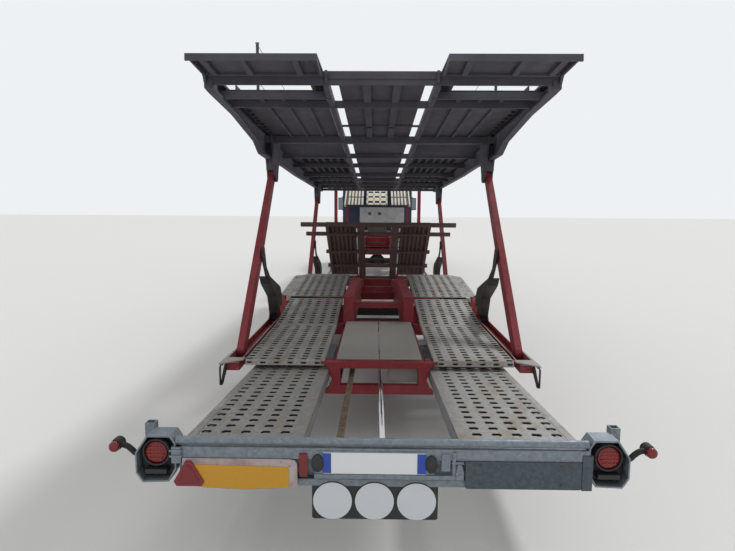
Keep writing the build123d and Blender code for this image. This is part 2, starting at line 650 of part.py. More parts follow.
# Upper deck frame: deep tapering side beams, cross-members and the hubs of the posts.
deck_plane = Plane(
    origin=(0, fore(upper_rear), upper_height),
    x_dir=(1, 0, 0),
    z_dir=(0, sin(radians(upper_slope)), cos(radians(upper_slope))),
)
with BuildPart() as upper_deck_frame:
    side_plate(
        (half_width - 60, half_width),
        [
            (1362, 2735), (1480, 2720), (2080, 2672), (2880, 2552), (3120, 2452), (3700, 2425), (4470, 2425),
            (5600, 2375), (upper_front, upper_level(upper_front) - 75),
            (upper_front, upper_level(upper_front) + 45),
            (1362, upper_level(1362) + 45),
        ],
    )
    # The side beams are C-sections, open to the inside.
    side_plate(
        (half_width - 61, half_width - 8),
        [
            (1480, 2740), (2100, 2692), (2900, 2572), (3130, 2475), (3700, 2447), (4470, 2447), (5600, 2397),
            (upper_front - 30, upper_level(upper_front) - 55),
            (upper_front - 30, upper_level(upper_front) + 25),
            (1480, upper_level(1480) + 25),
        ],
        mode=Mode.SUBTRACT,
    )
    # Forks for the top pins: two cheeks, a web behind the post's head and a shelf under the tracks.
    for (pivot_distance, pivot_height), half_top in ((rear_pivot, 260), (front_pivot, 200)):
        top_height = pivot_height + 2 * post_rise
        level = upper_level(pivot_distance)
        for cheek_x in (fork_inner, fork_outer):
            side_plate(
                cheek_x,
                [(pivot_distance - half_top, upper_level(pivot_distance - half_top) - 14),
                 (pivot_distance - 75, top_height), (pivot_distance + 75, top_height),
                 (pivot_distance + half_top, upper_level(pivot_distance + half_top) - 14)],
            )
            cross_pin(cheek_x, pivot_distance, top_height, 78)
        cross_pin((fork_inner[0], fork_outer[1]), pivot_distance, top_height, post_pin_radius)
        slab((fork_inner[0] + 1, fork_outer[1] - 1), (fore(pivot_distance - 118), fore(pivot_distance - 108)),
             (top_height + 45, level - 12))
        slab((fork_inner[0], half_width - 7), (fore(pivot_distance - 120), fore(pivot_distance + 120)),
             (level - 40, level - 22))
    # Upright slots in the side beams' webs.
    for row in range(17):
        station = 2500 + row * 80
        slab((half_width - 9, half_width + 1), (fore(station - 10), fore(station + 10)),
             (upper_level(station) - 89, upper_level(station) - 11), mode=Mode.SUBTRACT)
    # Flanged rear beam.
    slab((-half_width + 7, half_width - 7), (fore(1358), fore(1376)), (2800, 2851))
    slab((-half_width + 7, half_width - 7), (fore(1370), fore(1392)), (2760, 2803))
    mirror(about=Plane.YZ)
    # Cross-members, each hung under the deck's plane.
    for start, depth, low in ((570, 20, -70), (2070, 90, -85), (3250, 60, -70), (4150, 50, -70),
                              (5280, 60, -70),
                              (6050, 50, -60), (6800, 60, -60), (7450, 50, -60), (8020, 60, -60)):
        with BuildSketch(deck_plane.offset(low)) as member:
            with Locations((0, start + depth / 2)):
                Rectangle(2 * (half_width - 7), depth)
        extrude(member.sketch, amount=-low - 14)
    # Rear sills of the side tracks and a flat bar under the centre floor.
    for inner, outer, start, depth, low in (
        (372, half_width - 7, 295, 20, -70), (-half_width + 7, -372, 295, 20, -70),
        (-392, 392, 1490, 30, -30),
    ):
        with BuildSketch(deck_plane.offset(low)) as sill:
            with Locations(((inner + outer) / 2, start + depth / 2)):
                Rectangle(outer - inner, depth)
        extrude(sill.sketch, amount=-low - 14)
    # Longitudinals beside the centre floor.
    for x in (-392, 392):
        with BuildSketch(deck_plane.offset(-66)) as runner:
            with Locations((x, (upper_front - upper_rear) / 2 - 20)):
                Rectangle(40, upper_front - upper_rear - 60)
        extrude(runner.sketch, amount=58)
    # Hinge lugs of the rear flaps.
    for side in (-1, 1):
        for lug_x in (flap_inner - 24, flap_outer + 5):
            low, high = sorted((side * lug_x, side * (lug_x + 18)))
            side_plate(
                (low, high),
                [(flap_pin_station - 24, flap_pin_height), (flap_pin_station + 10, 2770), (1375, 2770),
                 (1375, 2820), (flap_pin_station + 24, flap_pin_height)],
            )
            cross_pin((low, high), flap_pin_station, flap_pin_height, 26)
            cross_pin((low - 1, high + 1), flap_pin_station, flap_pin_height, flap_pin_radius + pin_clearance,
                      mode=Mode.SUBTRACT)
    # Guard poles on the side beams.
    for side, station in ((-1, 3060), (1, 3450), (-1, 6300), (1, 6300), (-1, 9000), (1, 9000)):
        upright(side * 1225, station, (upper_level(station) + 20, upper_level(station) + 820), 15)
save(upper_deck_frame, "upper_deck_frame")

# Upper deck tracks with their toe edges, and the centre floor with two channels under it.
upper_track_x = (440, 1183)
upper_track_span = (300, 8040)
with BuildPart() as upper_deck_tracks:
    track_middle = (upper_track_span[0] + upper_track_span[1]) / 2
    track_run = upper_track_span[1] - upper_track_span[0]
    with BuildSketch(deck_plane.offset(-13)) as track_sheet:
        with Locations(((upper_track_x[0] + upper_track_x[1]) / 2, track_middle)):
            Rectangle(upper_track_x[1] - upper_track_x[0], track_run)
    extrude(track_sheet.sketch, amount=13)
    with BuildSketch(deck_plane) as toe_edges:
        with Locations((upper_track_x[0] + 6, track_middle), (1099, track_middle)):
            Rectangle(12, track_run)
    extrude(toe_edges.sketch, amount=30)
    mirror(about=Plane.YZ)
    with BuildSketch(deck_plane.offset(-13)) as floor_sheet:
        with Locations((0, 4040)):
            Rectangle(624, 7960)
    extrude(floor_sheet.sketch, amount=6)
    with BuildSketch(deck_plane.offset(-38)) as floor_channels:
        for start, end in ((60, 560), (600, 1480), (1530, 2060)):
            with Locations((-110, (start + end) / 2), (110, (start + end) / 2)):
                Rectangle(58, end - start)
    extrude(floor_channels.sketch, amount=26)
save(upper_deck_tracks, "upper_deck_tracks")

# Hinged flaps at the upper deck's rear edge.
for side_name, side in (("left", -1), ("right", 1)):
    with BuildPart() as flap:
        flap_plane = Plane(
            origin=(0, fore(flap_pin_station), flap_pin_height),
            x_dir=(1, 0, 0),
            z_dir=(0, sin(radians(flap_slope)), cos(radians(flap_slope))),
        )
        with BuildSketch(flap_plane.offset(-6)) as flap_sheet:
            Polygon(
                (side * flap_inner, -4), (side * flap_outer, -4), (side * flap_outer, -flap_length + 60),
                (side * half_width, -flap_length), (side * (flap_inner + 10), -flap_length), align=None,
            )
        extrude(flap_sheet.sketch, amount=12)
        low, high = sorted((side * (flap_inner - 26), side * (flap_outer + 24)))
        cross_pin((low, high), flap_pin_station, flap_pin_height, flap_pin_radius)
        # Turned-down rim at the tip and along both sides.
        with BuildSketch(flap_plane.offset(-38)) as flap_rim:
            with Locations((side * (flap_inner + 10 + half_width) / 2, -flap_length + 7)):
                Rectangle(half_width - flap_inner - 10, 14)
            for rim_x in (flap_inner + 16, flap_outer - 8):
                with Locations((side * rim_x, -flap_length / 2 - 20)):
                    Rectangle(12, flap_length - 60)
        extrude(flap_rim.sketch, amount=40)
    save(flap, f"upper_flap_{side_name}")

# Tilting platform ahead of the wheels, standing raised on its front hinge.
tilt_plane = Plane(
    origin=(0, fore(tilt_pivot[0]), tilt_pivot[1]),
    x_dir=(-1, 0, 0),
    z_dir=(0, sin(radians(tilt_angle)), cos(radians(tilt_angle))),
)
with BuildPart() as tilt_platform:
    for start, depth, reach in ((tilt_length - 60, 60, half_width), (tilt_length - 330, 50, half_width - 60),
                                (tilt_length - 900, 50, 900), (500, 60, 900)):
        with BuildSketch(tilt_plane.offset(-62)) as tilt_member:
            with Locations((0, start + depth / 2)):
                Rectangle(2 * reach, depth)
        extrude(tilt_member.sketch, amount=50)
    for runner_x, width, start in ((280, 116, 70), (830, 50, -10), (247, 22, -10)):
        with BuildSketch(tilt_plane.offset(-55)) as tilt_runner:
            for x in (-runner_x, runner_x):
                with Locations((x, (start + tilt_length) / 2)):
                    Rectangle(width, tilt_length - start)
        extrude(tilt_runner.sketch, amount=44)
    for x in (-600, 600):
        with BuildSketch(tilt_plane.offset(-12)) as tilt_track:
            with Locations((x, tilt_length / 2 + 60)):
                Rectangle(470, tilt_length - 140)
        extrude(tilt_track.sketch, amount=12)
    cross_pin((-905, 905), tilt_pivot[0], tilt_pivot[1], tilt_pin_radius)
save(tilt_platform, "tilt_platform")

# Front upper deck that slides on the masts.
front_deck = (10150, 14600)
front_deck_level = 2590
with BuildPart() as front_upper_deck:
    track_run = (fore(front_deck[0] + 60), fore(front_deck[1] - 60))
    slab((1040, 1120), (fore(front_deck[0]), fore(front_deck[1])),
         (front_deck_level - 60, front_deck_level + 40))
    slab((430, 1041), track_run, (front_deck_level - 12, front_deck_level))
    slab((390, 440), track_run, (front_deck_level - 60, front_deck_level))
    # Shoes that run on the masts' rear and front faces.
    for start, end in ((-125, -66), (66, 125)):
        slab((1110, half_width - 20), (fore(mast_station + start), fore(mast_station + end)),
             (front_deck_level - 120, front_deck_level + 60))
    mirror(about=Plane.YZ)
    for station in (front_deck[0], 11250, 12300, 13350, front_deck[1] - 80):
        slab((-1045, 1045), (fore(station), fore(station + 80)),
             (front_deck_level - 70, front_deck_level - 13))
save(front_upper_deck, "front_upper_deck")

# Tractor chassis: channel rails, cross-members, rear mudguards and platform legs.
rail_x = (350, 430)
chassis_low = 640
chassis_high = 900
tractor_rear = 11900
tow_jaw = (220, 318)
tow_pin_station = 17740
tow_bore_radius = 20
with BuildPart() as tractor_chassis:
    side_plate(
        rail_x,
        [(tractor_rear, 720), (12300, chassis_low), (15400, chassis_low), (15900, 560), (17550, 560),
         (17550, 760),
         (16000, 800), (15500, chassis_high), (tractor_rear, chassis_high)],
    )
    slab((rail_x[1] - 60, rail_x[1]), (fore(13600), fore(15300)), (chassis_low + 25, chassis_high - 25),
         mode=Mode.SUBTRACT)
    # Mudguards over the twin wheels.
    with BuildSketch(Plane.YZ.offset(twin_inner_x - twin_tyre_width / 2 + 8)) as guard:
        with Locations((fore(drive_axle_station), tractor_tyre_radius)):
            Circle(tractor_tyre_radius + 75)
            Circle(tractor_tyre_radius + 67, mode=Mode.SUBTRACT)
        with Locations((fore(drive_axle_station), tractor_tyre_radius + 340)):
            Rectangle(1300, 400, mode=Mode.INTERSECT)
    extrude(guard.sketch, amount=half_width - 8 - (twin_inner_x - twin_tyre_width / 2 + 8))
    slab((rail_x[1] - 1, 620), (fore(drive_axle_station - 380), fore(drive_axle_station - 340)), (820, 870))
    slab((rail_x[1] - 1, 620), (fore(drive_axle_station + 340), fore(drive_axle_station + 380)), (820, 870))
    # Legs of the roof platform behind the cab.
    slab((rail_x[1] - 1, 1000), (fore(15180), fore(15280)), (780, 880))
    slab((930, 1000), (fore(15190), fore(15270)), (860, 2120))
    mirror(about=Plane.YZ)
    for station, low, high in ((tractor_rear, 730, 790), (13650, 730, 790), (14700, 730, 790),
                               (15300, 730, 790),
                               (17400, 600, 740)):
        slab((-rail_x[0] - 1, rail_x[0] + 1), (fore(station), fore(station + 70)), (low, high))
    slab((-1200, 1200), (fore(tractor_rear - 40), fore(tractor_rear + 1)), (700, 860))
    # Towing jaw under the front bumper.
    slab((-60, 60), (fore(17460), fore(17640)), (590, 640))
    slab((-60, 60), (fore(17580), fore(17640)), (tow_jaw[0], 600))
    for low, high in ((tow_jaw[0], tow_jaw[0] + 28), (tow_jaw[1] - 28, tow_jaw[1])):
        slab((-60, 60), (fore(17600), fore(17795)), (low, high))
    upright(0, tow_pin_station, (tow_jaw[0] - 1, tow_jaw[1] + 1), tow_bore_radius, mode=Mode.SUBTRACT)
save(tractor_chassis, "tractor_chassis")

# Tractor axles: the drive axle with its differential, and the dropped front beam with kingpins.
with BuildPart() as tractor_axles:
    cross_pin((-560, 560), drive_axle_station, tractor_tyre_radius, 75)
    cross_pin((-twin_outer_x - 60, twin_outer_x + 60), drive_axle_station, tractor_tyre_radius, 60)
    with BuildSketch(Plane.XY.offset(tractor_tyre_radius)) as banjo:
        with Locations((0, fore(drive_axle_station))):
            Polygon((-190, 0), (-190, 90), (-90, 190), (90, 190), (190, 90), (190, 0), align=None)
    revolve(banjo.sketch, axis=Axis((0, fore(drive_axle_station), tractor_tyre_radius), (1, 0, 0)))
    cross_plate(
        (fore(steer_axle_station - 55), fore(steer_axle_station + 55)),
        [(-steer_pin_x, 410), (-steer_pin_x, 500), (-700, 500), (-560, 420), (560, 420), (700, 500),
         (steer_pin_x, 500), (steer_pin_x, 410), (680, 400), (520, 330), (-520, 330), (-680, 400)],
    )
    for side in (-1, 1):
        upright(side * steer_pin_x, steer_axle_station, (410, 500), 52)
        upright(side * steer_pin_x, steer_axle_station, (330, 590), 25)
        low, high = sorted((side * (rail_x[0] + 5), side * (rail_x[1] - 5)))
        slab((low, high), (fore(drive_axle_station - 60), fore(drive_axle_station + 60)), (530, chassis_low))
        slab((low, high), (fore(steer_axle_station - 45), fore(steer_axle_station + 45)), (419, 560))
save(tractor_axles, "tractor_axles")

# Fifth wheel: tilted-lip plate with its slot and jaw, on a pedestal.
with BuildPart() as fifth_wheel:
    with BuildSketch(Plane.XY.offset(coupling_height - 45)) as top_plate:
        with Locations((0, fore(kingpin_station))):
            Circle(470)
        with Locations((0, fore(kingpin_station - 330))):
            Polygon((-14, 240), (14, 240), (160, -200), (-160, -200), mode=Mode.SUBTRACT, align=None)
        with Locations((0, fore(kingpin_station - 60))):
            Rectangle(2 * (kingpin_radius + 2), 120, mode=Mode.SUBTRACT)
        with Locations((0, fore(kingpin_station))):
            Circle(kingpin_radius + 2, mode=Mode.SUBTRACT)
    extrude(top_plate.sketch, amount=44)
    for pedestal_x in ((-440, -300), (300, 440)):
        slab(pedestal_x, (fore(kingpin_station - 110), fore(kingpin_station + 110)),
             (chassis_high, coupling_height - 44))
save(fifth_wheel, "fifth_wheel")

# Engine as one plain block under the cab.
with BuildPart() as engine_block:
    slab((-335, 335), (fore(15950), fore(17250)), (600, 1340))
save(engine_block, "engine_block")

# Fuel tank on the left and battery box on the right of the chassis.
with BuildPart() as side_tanks:
    with BuildSketch(Plane.XZ.offset(-fore(13700))) as tank_section:
        with Locations((-840, 640)):
            RectangleRounded(660, 560, 110)
    extrude(tank_section.sketch, amount=-1150)
    with BuildSketch(Plane.XZ.offset(-fore(13800))) as box_section:
        with Locations((810, 640)):
            RectangleRounded(600, 500, 30)
    extrude(box_section.sketch, amount=-800)
    for side in (-1, 1):
        low, high = sorted((side * (rail_x[1] - 1), side * 520))
        slab((low, high), (fore(13900), fore(13960)), (700, 800))
        slab((low, high), (fore(14400), fore(14460)), (700, 800))
save(side_tanks, "side_tanks")

# Cab: hollow sheet body with cut windows, door openings and front wheel arches.
cab_rear = 15980
cab_front = 17780
cab_floor = 1010
cab_roof = 2590
cab_half = 1150
wall = 40
screen_foot = 1680
door_opening = (16260, 17330)
door_sill = 1060
door_top = 2450
window_sill = 1720
hinge_station = door_opening[1] - 3
hinge_heights = ((1300, 1370), (1600, 1670))
hinge_radius = 12
cab_profile = [
    (cab_rear, cab_floor), (cab_front, cab_floor), (cab_front, screen_foot),
    (cab_front - 170, cab_roof - 110),
    (cab_front - 330, cab_roof), (cab_rear + 90, cab_roof), (cab_rear, cab_roof - 80),
]
screen_corners = [
    (-1040, screen_foot + 40), (1040, screen_foot + 40), (960, cab_roof - 150), (-960, cab_roof - 150),
]
inner_profile = [
    (cab_rear + wall, cab_floor + wall), (cab_front - wall, cab_floor + wall),
    (cab_front - wall, screen_foot),
    (cab_front - 170 - wall, cab_roof - 115), (cab_front - 345, cab_roof - wall),
    (cab_rear + 100, cab_roof - wall), (cab_rear + wall, cab_roof - 100),
]
with BuildPart() as cab_shell:
    with BuildSketch(Plane.YZ.offset(-cab_half)) as cab_side:
        Polygon(*[(fore(distance), height) for distance, height in cab_profile], align=None)
    extrude(cab_side.sketch, amount=2 * cab_half)
    roof_edges = [
        edge for edge in cab_shell.edges()
        if edge.center().Z > cab_roof - 90 and abs(abs(edge.center().X) - cab_half) < 1
    ]
    fillet(roof_edges, 60)
    side_plate((-cab_half + wall, cab_half - wall), inner_profile, mode=Mode.SUBTRACT)
    # Door openings on both sides, through the wall only.
    for x in ((-cab_half - 5, -cab_half + wall + 5), (cab_half - wall - 5, cab_half + 5)):
        side_plate(
            x,
            [(door_opening[0], door_sill), (door_opening[1] - 80, door_sill),
             (door_opening[1], door_sill + 200),
             (door_opening[1], 1750), (door_opening[1] - 60, door_top), (door_opening[0], door_top)],
            mode=Mode.SUBTRACT,
        )
    # Pockets for the doors' hinge barrels.
    for side in (-1, 1):
        for low, high in hinge_heights:
            upright(side * cab_half, hinge_station, (low - 5, high + 5), hinge_radius + 5, mode=Mode.SUBTRACT)
    # Windscreen opening.
    with BuildSketch(Plane.XZ.offset(-fore(cab_front - 300))) as screen_cut:
        Polygon(*screen_corners, align=None)
        fillet(screen_cut.vertices(), 60)
    extrude(screen_cut.sketch, amount=-400, mode=Mode.SUBTRACT)
    # Arches over the front wheels.
    cross_pin((-cab_half - 5, cab_half + 5), steer_axle_station, tractor_tyre_radius, 600, mode=Mode.SUBTRACT)
    # Closed tunnel over the arch, engine cover and sill panels.
    with BuildSketch(Plane.YZ.offset(-cab_half + 1)) as arch:
        with Locations((fore(steer_axle_station), tractor_tyre_radius)):
            Circle(620)
            Circle(600, mode=Mode.SUBTRACT)
        with Locations((fore(steer_axle_station), 1060)):
            Rectangle(900, 110, mode=Mode.INTERSECT)
    extrude(arch.sketch, amount=2 * cab_half - 2)
    # Engine tunnel through the floor.
    slab((-400, 400), (fore(cab_rear), fore(17350)), (cab_floor, 1400))
    slab((-375, 375), (fore(cab_rear - 5), fore(17325)), (cab_floor - 60, 1375), mode=Mode.SUBTRACT)
    # Mudguards behind the front wheels.
    for side in (-1, 1):
        low, high = sorted((side * 900, side * (cab_half + 45)))
        with BuildSketch(Plane.YZ.offset(low)) as mudguard:
            with Locations((fore(steer_axle_station), tractor_tyre_radius)):
                Circle(652)
                Circle(640, mode=Mode.SUBTRACT)
            with Locations((fore(steer_axle_station - 500), 850)):
                Rectangle(400, 340, mode=Mode.INTERSECT)
        extrude(mudguard.sketch, amount=high - low)
    # Slatted grille in a shallow recess of the front panel.
    slab((-720, 720), (fore(cab_front - 22), fore(cab_front + 1)), (1090, 1560), mode=Mode.SUBTRACT)
    for height in (1130, 1205, 1280, 1355, 1430, 1505):
        slab((-721, 721), (fore(cab_front - 23), fore(cab_front - 2)), (height, height + 30))
    # Sun visor over the windscreen.
    side_plate((-1000, 1000),
               [(cab_front - 190, 2470), (cab_front + 10, 2415), (cab_front + 14, 2427),
                (cab_front - 190, 2500)])
    # Mirror arms and heads.
    for side in (-1, 1):
        low, high = sorted((side * (cab_half - 1), side * (cab_half + 130)))
        for height in (2300, 1850):
            slab((low, high), (fore(17480), fore(17510)), (height, height + 30))
        low, high = sorted((side * (cab_half + 70), side * (cab_half + 95)))
        slab((low, high), (fore(17470), fore(17520)), (1800, 2340))
        low, high = sorted((side * (cab_half + 60), side * (cab_half + 250)))
        slab((low, high), (fore(17440), fore(17520)), (1860, 2290))
save(cab_shell, "cab_shell")

# Doors: thick panels with cut windows, seated in the openings.
door_gap = 6
for side_name, side in (("left", -1), ("right", 1)):
    with BuildPart() as door:
        low, high = sorted((side * (cab_half - wall), side * cab_half))
        side_plate(
            (low, high),
            [
                (door_opening[0] + door_gap, door_sill + door_gap),
                (door_opening[1] - 80 - door_gap, door_sill + door_gap),
                (door_opening[1] - door_gap, door_sill + 200),
                (door_opening[1] - door_gap, 1750),
                (door_opening[1] - 60 - door_gap, door_top - door_gap),
                (door_opening[0] + door_gap, door_top - door_gap),
            ],
        )
        side_plate(
            (low - 5, high + 5),
            [(door_opening[0] + 90, window_sill), (door_opening[1] - 110, window_sill - 60),
             (door_opening[1] - 140, door_top - 100), (door_opening[0] + 90, door_top - 100)],
            radius=35,
            mode=Mode.SUBTRACT,
        )
        # Lower part cut round the wheel arch.
        cross_pin((low - 5, high + 5), steer_axle_station, tractor_tyre_radius, 626, mode=Mode.SUBTRACT)
        for barrel in hinge_heights:
            upright(side * cab_half, hinge_station, barrel, hinge_radius)
    save(door, f"door_{side_name}")

    with BuildPart() as door_glass:
        middle = side * (cab_half - wall / 2)
        side_plate(
            (middle - 3, middle + 3),
            [(door_opening[0] + 90, window_sill), (door_opening[1] - 110, window_sill - 60),
             (door_opening[1] - 140, door_top - 100), (door_opening[0] + 90, door_top - 100)],
            radius=35,
        )
    save(door_glass, f"door_glass_{side_name}")

# Windscreen, sloping with the cab's front.
with BuildPart() as windscreen:
    side_plate(
        (-1060, 1060),
        [(cab_front - 28, screen_foot), (cab_front - 20, screen_foot), (cab_front - 190, cab_roof - 112),
         (cab_front - 198, cab_roof - 112)],
    )
    with BuildSketch(Plane.XZ.offset(-fore(cab_front - 400))) as screen_outline:
        Polygon(*screen_corners, align=None)
        fillet(screen_outline.vertices(), 60)
    extrude(screen_outline.sketch, amount=-500, mode=Mode.INTERSECT)
save(windscreen, "windscreen")

# Cab interior: two seats, dashboard and steering wheel.
with BuildPart() as cab_interior:
    for x in (-560, 560):
        slab((x - 230, x + 230), (fore(16350), fore(16850)), (1450, 1560))
        side_plate((x - 220, x + 220), [(16260, 1540), (16400, 1540), (16300, 2200), (16200, 2200)],
                   radius=30)
        slab((x - 140, x + 140), (fore(16400), fore(16780)), (1090, 1451))
    side_plate((-1000, 1000), [(17200, 1500), (17690, 1500), (17690, 1660), (17450, 1690), (17240, 1640)])
    side_plate((-1000, 1000),
               [(17560, cab_floor + wall), (17690, cab_floor + wall), (17690, 1501), (17560, 1501)])
    wheel_plane = Plane(origin=(-560, fore(17130), 1700), x_dir=(1, 0, 0), z_dir=(0, -0.5, 0.866))
    with BuildSketch(wheel_plane) as wheel_disc:
        Circle(225)
        Circle(195, mode=Mode.SUBTRACT)
        Rectangle(400, 30)
        Circle(50)
    extrude(wheel_disc.sketch, amount=24)
    with BuildSketch(wheel_plane.offset(-120)) as wheel_column:
        Circle(28)
    extrude(wheel_column.sketch, amount=125)
save(cab_interior, "cab_interior")

# Front bumper with headlamp pockets and grille bars.
bumper_top = 980
with BuildPart() as front_bumper:
    with BuildSketch(Plane.XY.offset(330)) as bumper_plan:
        Polygon(
            (-1200, fore(17120)), (-1200, fore(17640)), (-1020, fore(17800)), (1020, fore(17800)),
            (1200, fore(17640)), (1200, fore(17120)), (1130, fore(17120)), (1130, fore(17560)),
            (980, fore(17700)), (-980, fore(17700)), (-1130, fore(17560)), (-1130, fore(17120)), align=None,
        )
    extrude(bumper_plan.sketch, amount=bumper_top - 330)
    for side in (-1, 1):
        low, high = sorted((side * 700, side * 1010))
        slab((low, high), (fore(17745), fore(17805)), (600, 780), mode=Mode.SUBTRACT)
    slab((-560, 560), (fore(17750), fore(17805)), (640, 900), mode=Mode.SUBTRACT)
    for height in (680, 740, 800, 860):
        slab((-561, 561), (fore(17749), fore(17785)), (height, height + 22))
    slab((-460, 460), (fore(17551), fore(17701)), (650, 760))
    # Two steps to each door, cut into the bumper's sides.
    for side in (-1, 1):
        for floor in (440, 670):
            low, high = sorted((side * 1125, side * 1205))
            slab((low, high), (fore(17190), fore(17500)), (floor + 12, floor + 160), mode=Mode.SUBTRACT)
            low, high = sorted((side * 1040, side * 1185))
            slab((low, high), (fore(17185), fore(17505)), (floor, floor + 12))
save(front_bumper, "front_bumper")

with BuildPart() as headlamps:
    for side in (-1, 1):
        low, high = sorted((side * 705, side * 1005))
        slab((low, high), (fore(17746), fore(17790)), (605, 775))
save(headlamps, "headlamps")

# Platform over the cab: a slope behind it, then a level part over its roof.
with BuildPart() as roof_platform:
    for x in ((480, 1000), (-1000, -480)):
        side_plate(x, [(14700, 2035), (15980, 2690), (17600, 2790), (17600, 2778), (15985, 2677),
                       (14708, 2022)])
    for x in ((-1030, -1000), (1000, 1030), (440, 480), (-480, -440)):
        side_plate(x, [(14700, 2060), (15975, 2715), (17600, 2815), (17600, 2740), (15990, 2640),
                       (14720, 1985)])
    for start, low, high in ((14730, 1990, 2040), (15300, 2270, 2325), (15950, 2620, 2675),
                             (16700, 2680, 2725),
                             (17520, 2725, 2775)):
        slab((-1001, 1001), (fore(start), fore(start + 60)), (low, high))
    # The legs' heads.
    for side in (-1, 1):
        low, high = sorted((side * 925, side * 1001))
        side_plate((low, high), [(15185, 2121), (15275, 2121), (15275, 2310), (15185, 2265)])
save(roof_platform, "roof_platform")

# Steering knuckles: a yoke round the kingpin and a stub axle.
stub_radius = 40
for side_name, side in (("left", -1), ("right", 1)):
    with BuildPart() as knuckle:
        low, high = sorted((side * (steer_pin_x - 45), side * (steer_pin_x + 63)))
        slab((low, high), (fore(steer_axle_station - 45), fore(steer_axle_station + 45)), (345, 398))
        slab((low, high), (fore(steer_axle_station - 45), fore(steer_axle_station + 45)), (510, 575))
        low, high = sorted((side * (steer_pin_x + 62), side * (steer_pin_x + 88)))
        slab((low, high), (fore(steer_axle_station - 70), fore(steer_axle_station + 70)), (345, 575))
        low, high = sorted((side * (steer_pin_x + 80), side * (steer_wheel_x + 70)))
        cross_pin((low, high), steer_axle_station, tractor_tyre_radius, stub_radius)
        upright(side * steer_pin_x, steer_axle_station, (340, 580), 25 + pin_clearance, mode=Mode.SUBTRACT)
    save(knuckle, f"steering_knuckle_{side_name}")


def tyre_profile(radius, width, rim_radius):
    """Half-section of a tyre, across and out from the axle."""
    half = width / 2
    wall_height = radius - rim_radius
    Polygon(
        (-half + 22, rim_radius), (-half + 5, rim_radius + 0.3 * wall_height),
        (-half, rim_radius + 0.55 * wall_height), (-half + 8, radius - 22), (-half + 32, radius),
        (half - 32, radius), (half - 8, radius - 22), (half, rim_radius + 0.55 * wall_height),
        (half - 5, rim_radius + 0.3 * wall_height), (half - 22, rim_radius), align=None,
    )


def wheel_plane_at(x, station, height):
    """Plane whose local X is the axle's direction and whose local Y points up from the axle."""
    return Plane(origin=(x, fore(station), height), x_dir=(1, 0, 0), z_dir=(0, -1, 0))


def rim_profile(width, rim_radius, bore, dish):
    """Half-section of a wheel with its hub: barrel, dished disc and hub tube, round the axle."""
    half = width / 2 - 24
    Polygon(
        (-half, rim_radius), (-half, rim_radius - 16), (-half + 30, rim_radius - 26),
        (dish - 8, rim_radius - 30),
        (dish - 8, rim_radius - 52), (dish + 22, 0.56 * rim_radius), (dish + 22, 0.4 * rim_radius),
        (-half - 20, 0.4 * rim_radius), (-half - 20, bore), (half + 4, bore), (half + 4, 0.3 * rim_radius),
        (dish + 36, 0.42 * rim_radius), (dish + 36, 0.6 * rim_radius), (dish + 8, rim_radius - 46),
        (dish + 8, rim_radius - 26), (half - 10, rim_radius - 20), (half, rim_radius - 14),
        (half, rim_radius),
        align=None,
    )


wheel_table = [
    ("trailer_rear", trailer_axle_stations[0], trailer_wheel_x, trailer_tyre_radius, trailer_tyre_width,
     trailer_rim_radius, axle_stub_radius),
    ("trailer_front", trailer_axle_stations[1], trailer_wheel_x, trailer_tyre_radius, trailer_tyre_width,
     trailer_rim_radius, axle_stub_radius),
    ("steer", steer_axle_station, steer_wheel_x, tractor_tyre_radius, tractor_tyre_width, tractor_rim_radius,
     stub_radius),
]
for place, station, wheel_x, radius, width, rim_radius, stub in wheel_table:
    for side_name, side in (("left", -1), ("right", 1)):
        plane = wheel_plane_at(side * wheel_x, station, radius)
        axis = Axis((side * wheel_x, fore(station), radius), (1, 0, 0))
        with BuildPart() as tyre:
            with BuildSketch(plane):
                tyre_profile(radius, width, rim_radius)
            revolve(axis=axis)
        save(tyre, f"tyre_{place}_{side_name}")
        with BuildPart() as rim:
            if side > 0:
                rim_plane = plane
            else:
                rim_plane = Plane(origin=plane.origin, x_dir=(-1, 0, 0), z_dir=(0, 1, 0))
            with BuildSketch(rim_plane):
                rim_profile(width, rim_radius, stub + pin_clearance, 20)
            revolve(axis=axis)
        save(rim, f"rim_{place}_{side_name}")

for side_name, side in (("left", -1), ("right", 1)):
    axis = Axis((0, fore(drive_axle_station), tractor_tyre_radius), (1, 0, 0))
    with BuildPart() as twin_tyres:
        for x in (side * twin_inner_x, side * twin_outer_x):
            with BuildSketch(wheel_plane_at(x, drive_axle_station, tractor_tyre_radius)):
                tyre_profile(tractor_tyre_radius, twin_tyre_width, tractor_rim_radius)
        revolve(axis=axis)
    save(twin_tyres, f"tyres_drive_{side_name}")
    with BuildPart() as twin_rims:
        for x, direction in ((side * twin_inner_x, side), (side * twin_outer_x, -side)):
            rim_plane = Plane(
                origin=(x, fore(drive_axle_station), tractor_tyre_radius),
                x_dir=(direction, 0, 0), z_dir=(0, -direction, 0),
            )
            with BuildSketch(rim_plane):
                rim_profile(twin_tyre_width, tractor_rim_radius, 60 + pin_clearance, 30)
        revolve(axis=axis)
        low, high = sorted((side * (twin_inner_x + 40), side * (twin_outer_x - 40)))
        with BuildSketch(Plane.YZ.offset(low)) as spacer:
            with Locations((fore(drive_axle_station), tractor_tyre_radius)):
                Circle(150)
                Circle(60 + pin_clearance, mode=Mode.SUBTRACT)
        extrude(spacer.sketch, amount=high - low)
    save(twin_rims, f"rims_drive_{side_name}")
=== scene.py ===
# %% [markdown]
# # A two-deck car transporter, seen from behind its pulled-out slider
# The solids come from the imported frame. This file dresses them: it finishes the surfaces, cuts the many small
# slots of the track plates, adds treads, lenses, reflectors and fittings, and sets the camera and the studio.
# All lengths are metres, with +Y towards the cab and +Z up.

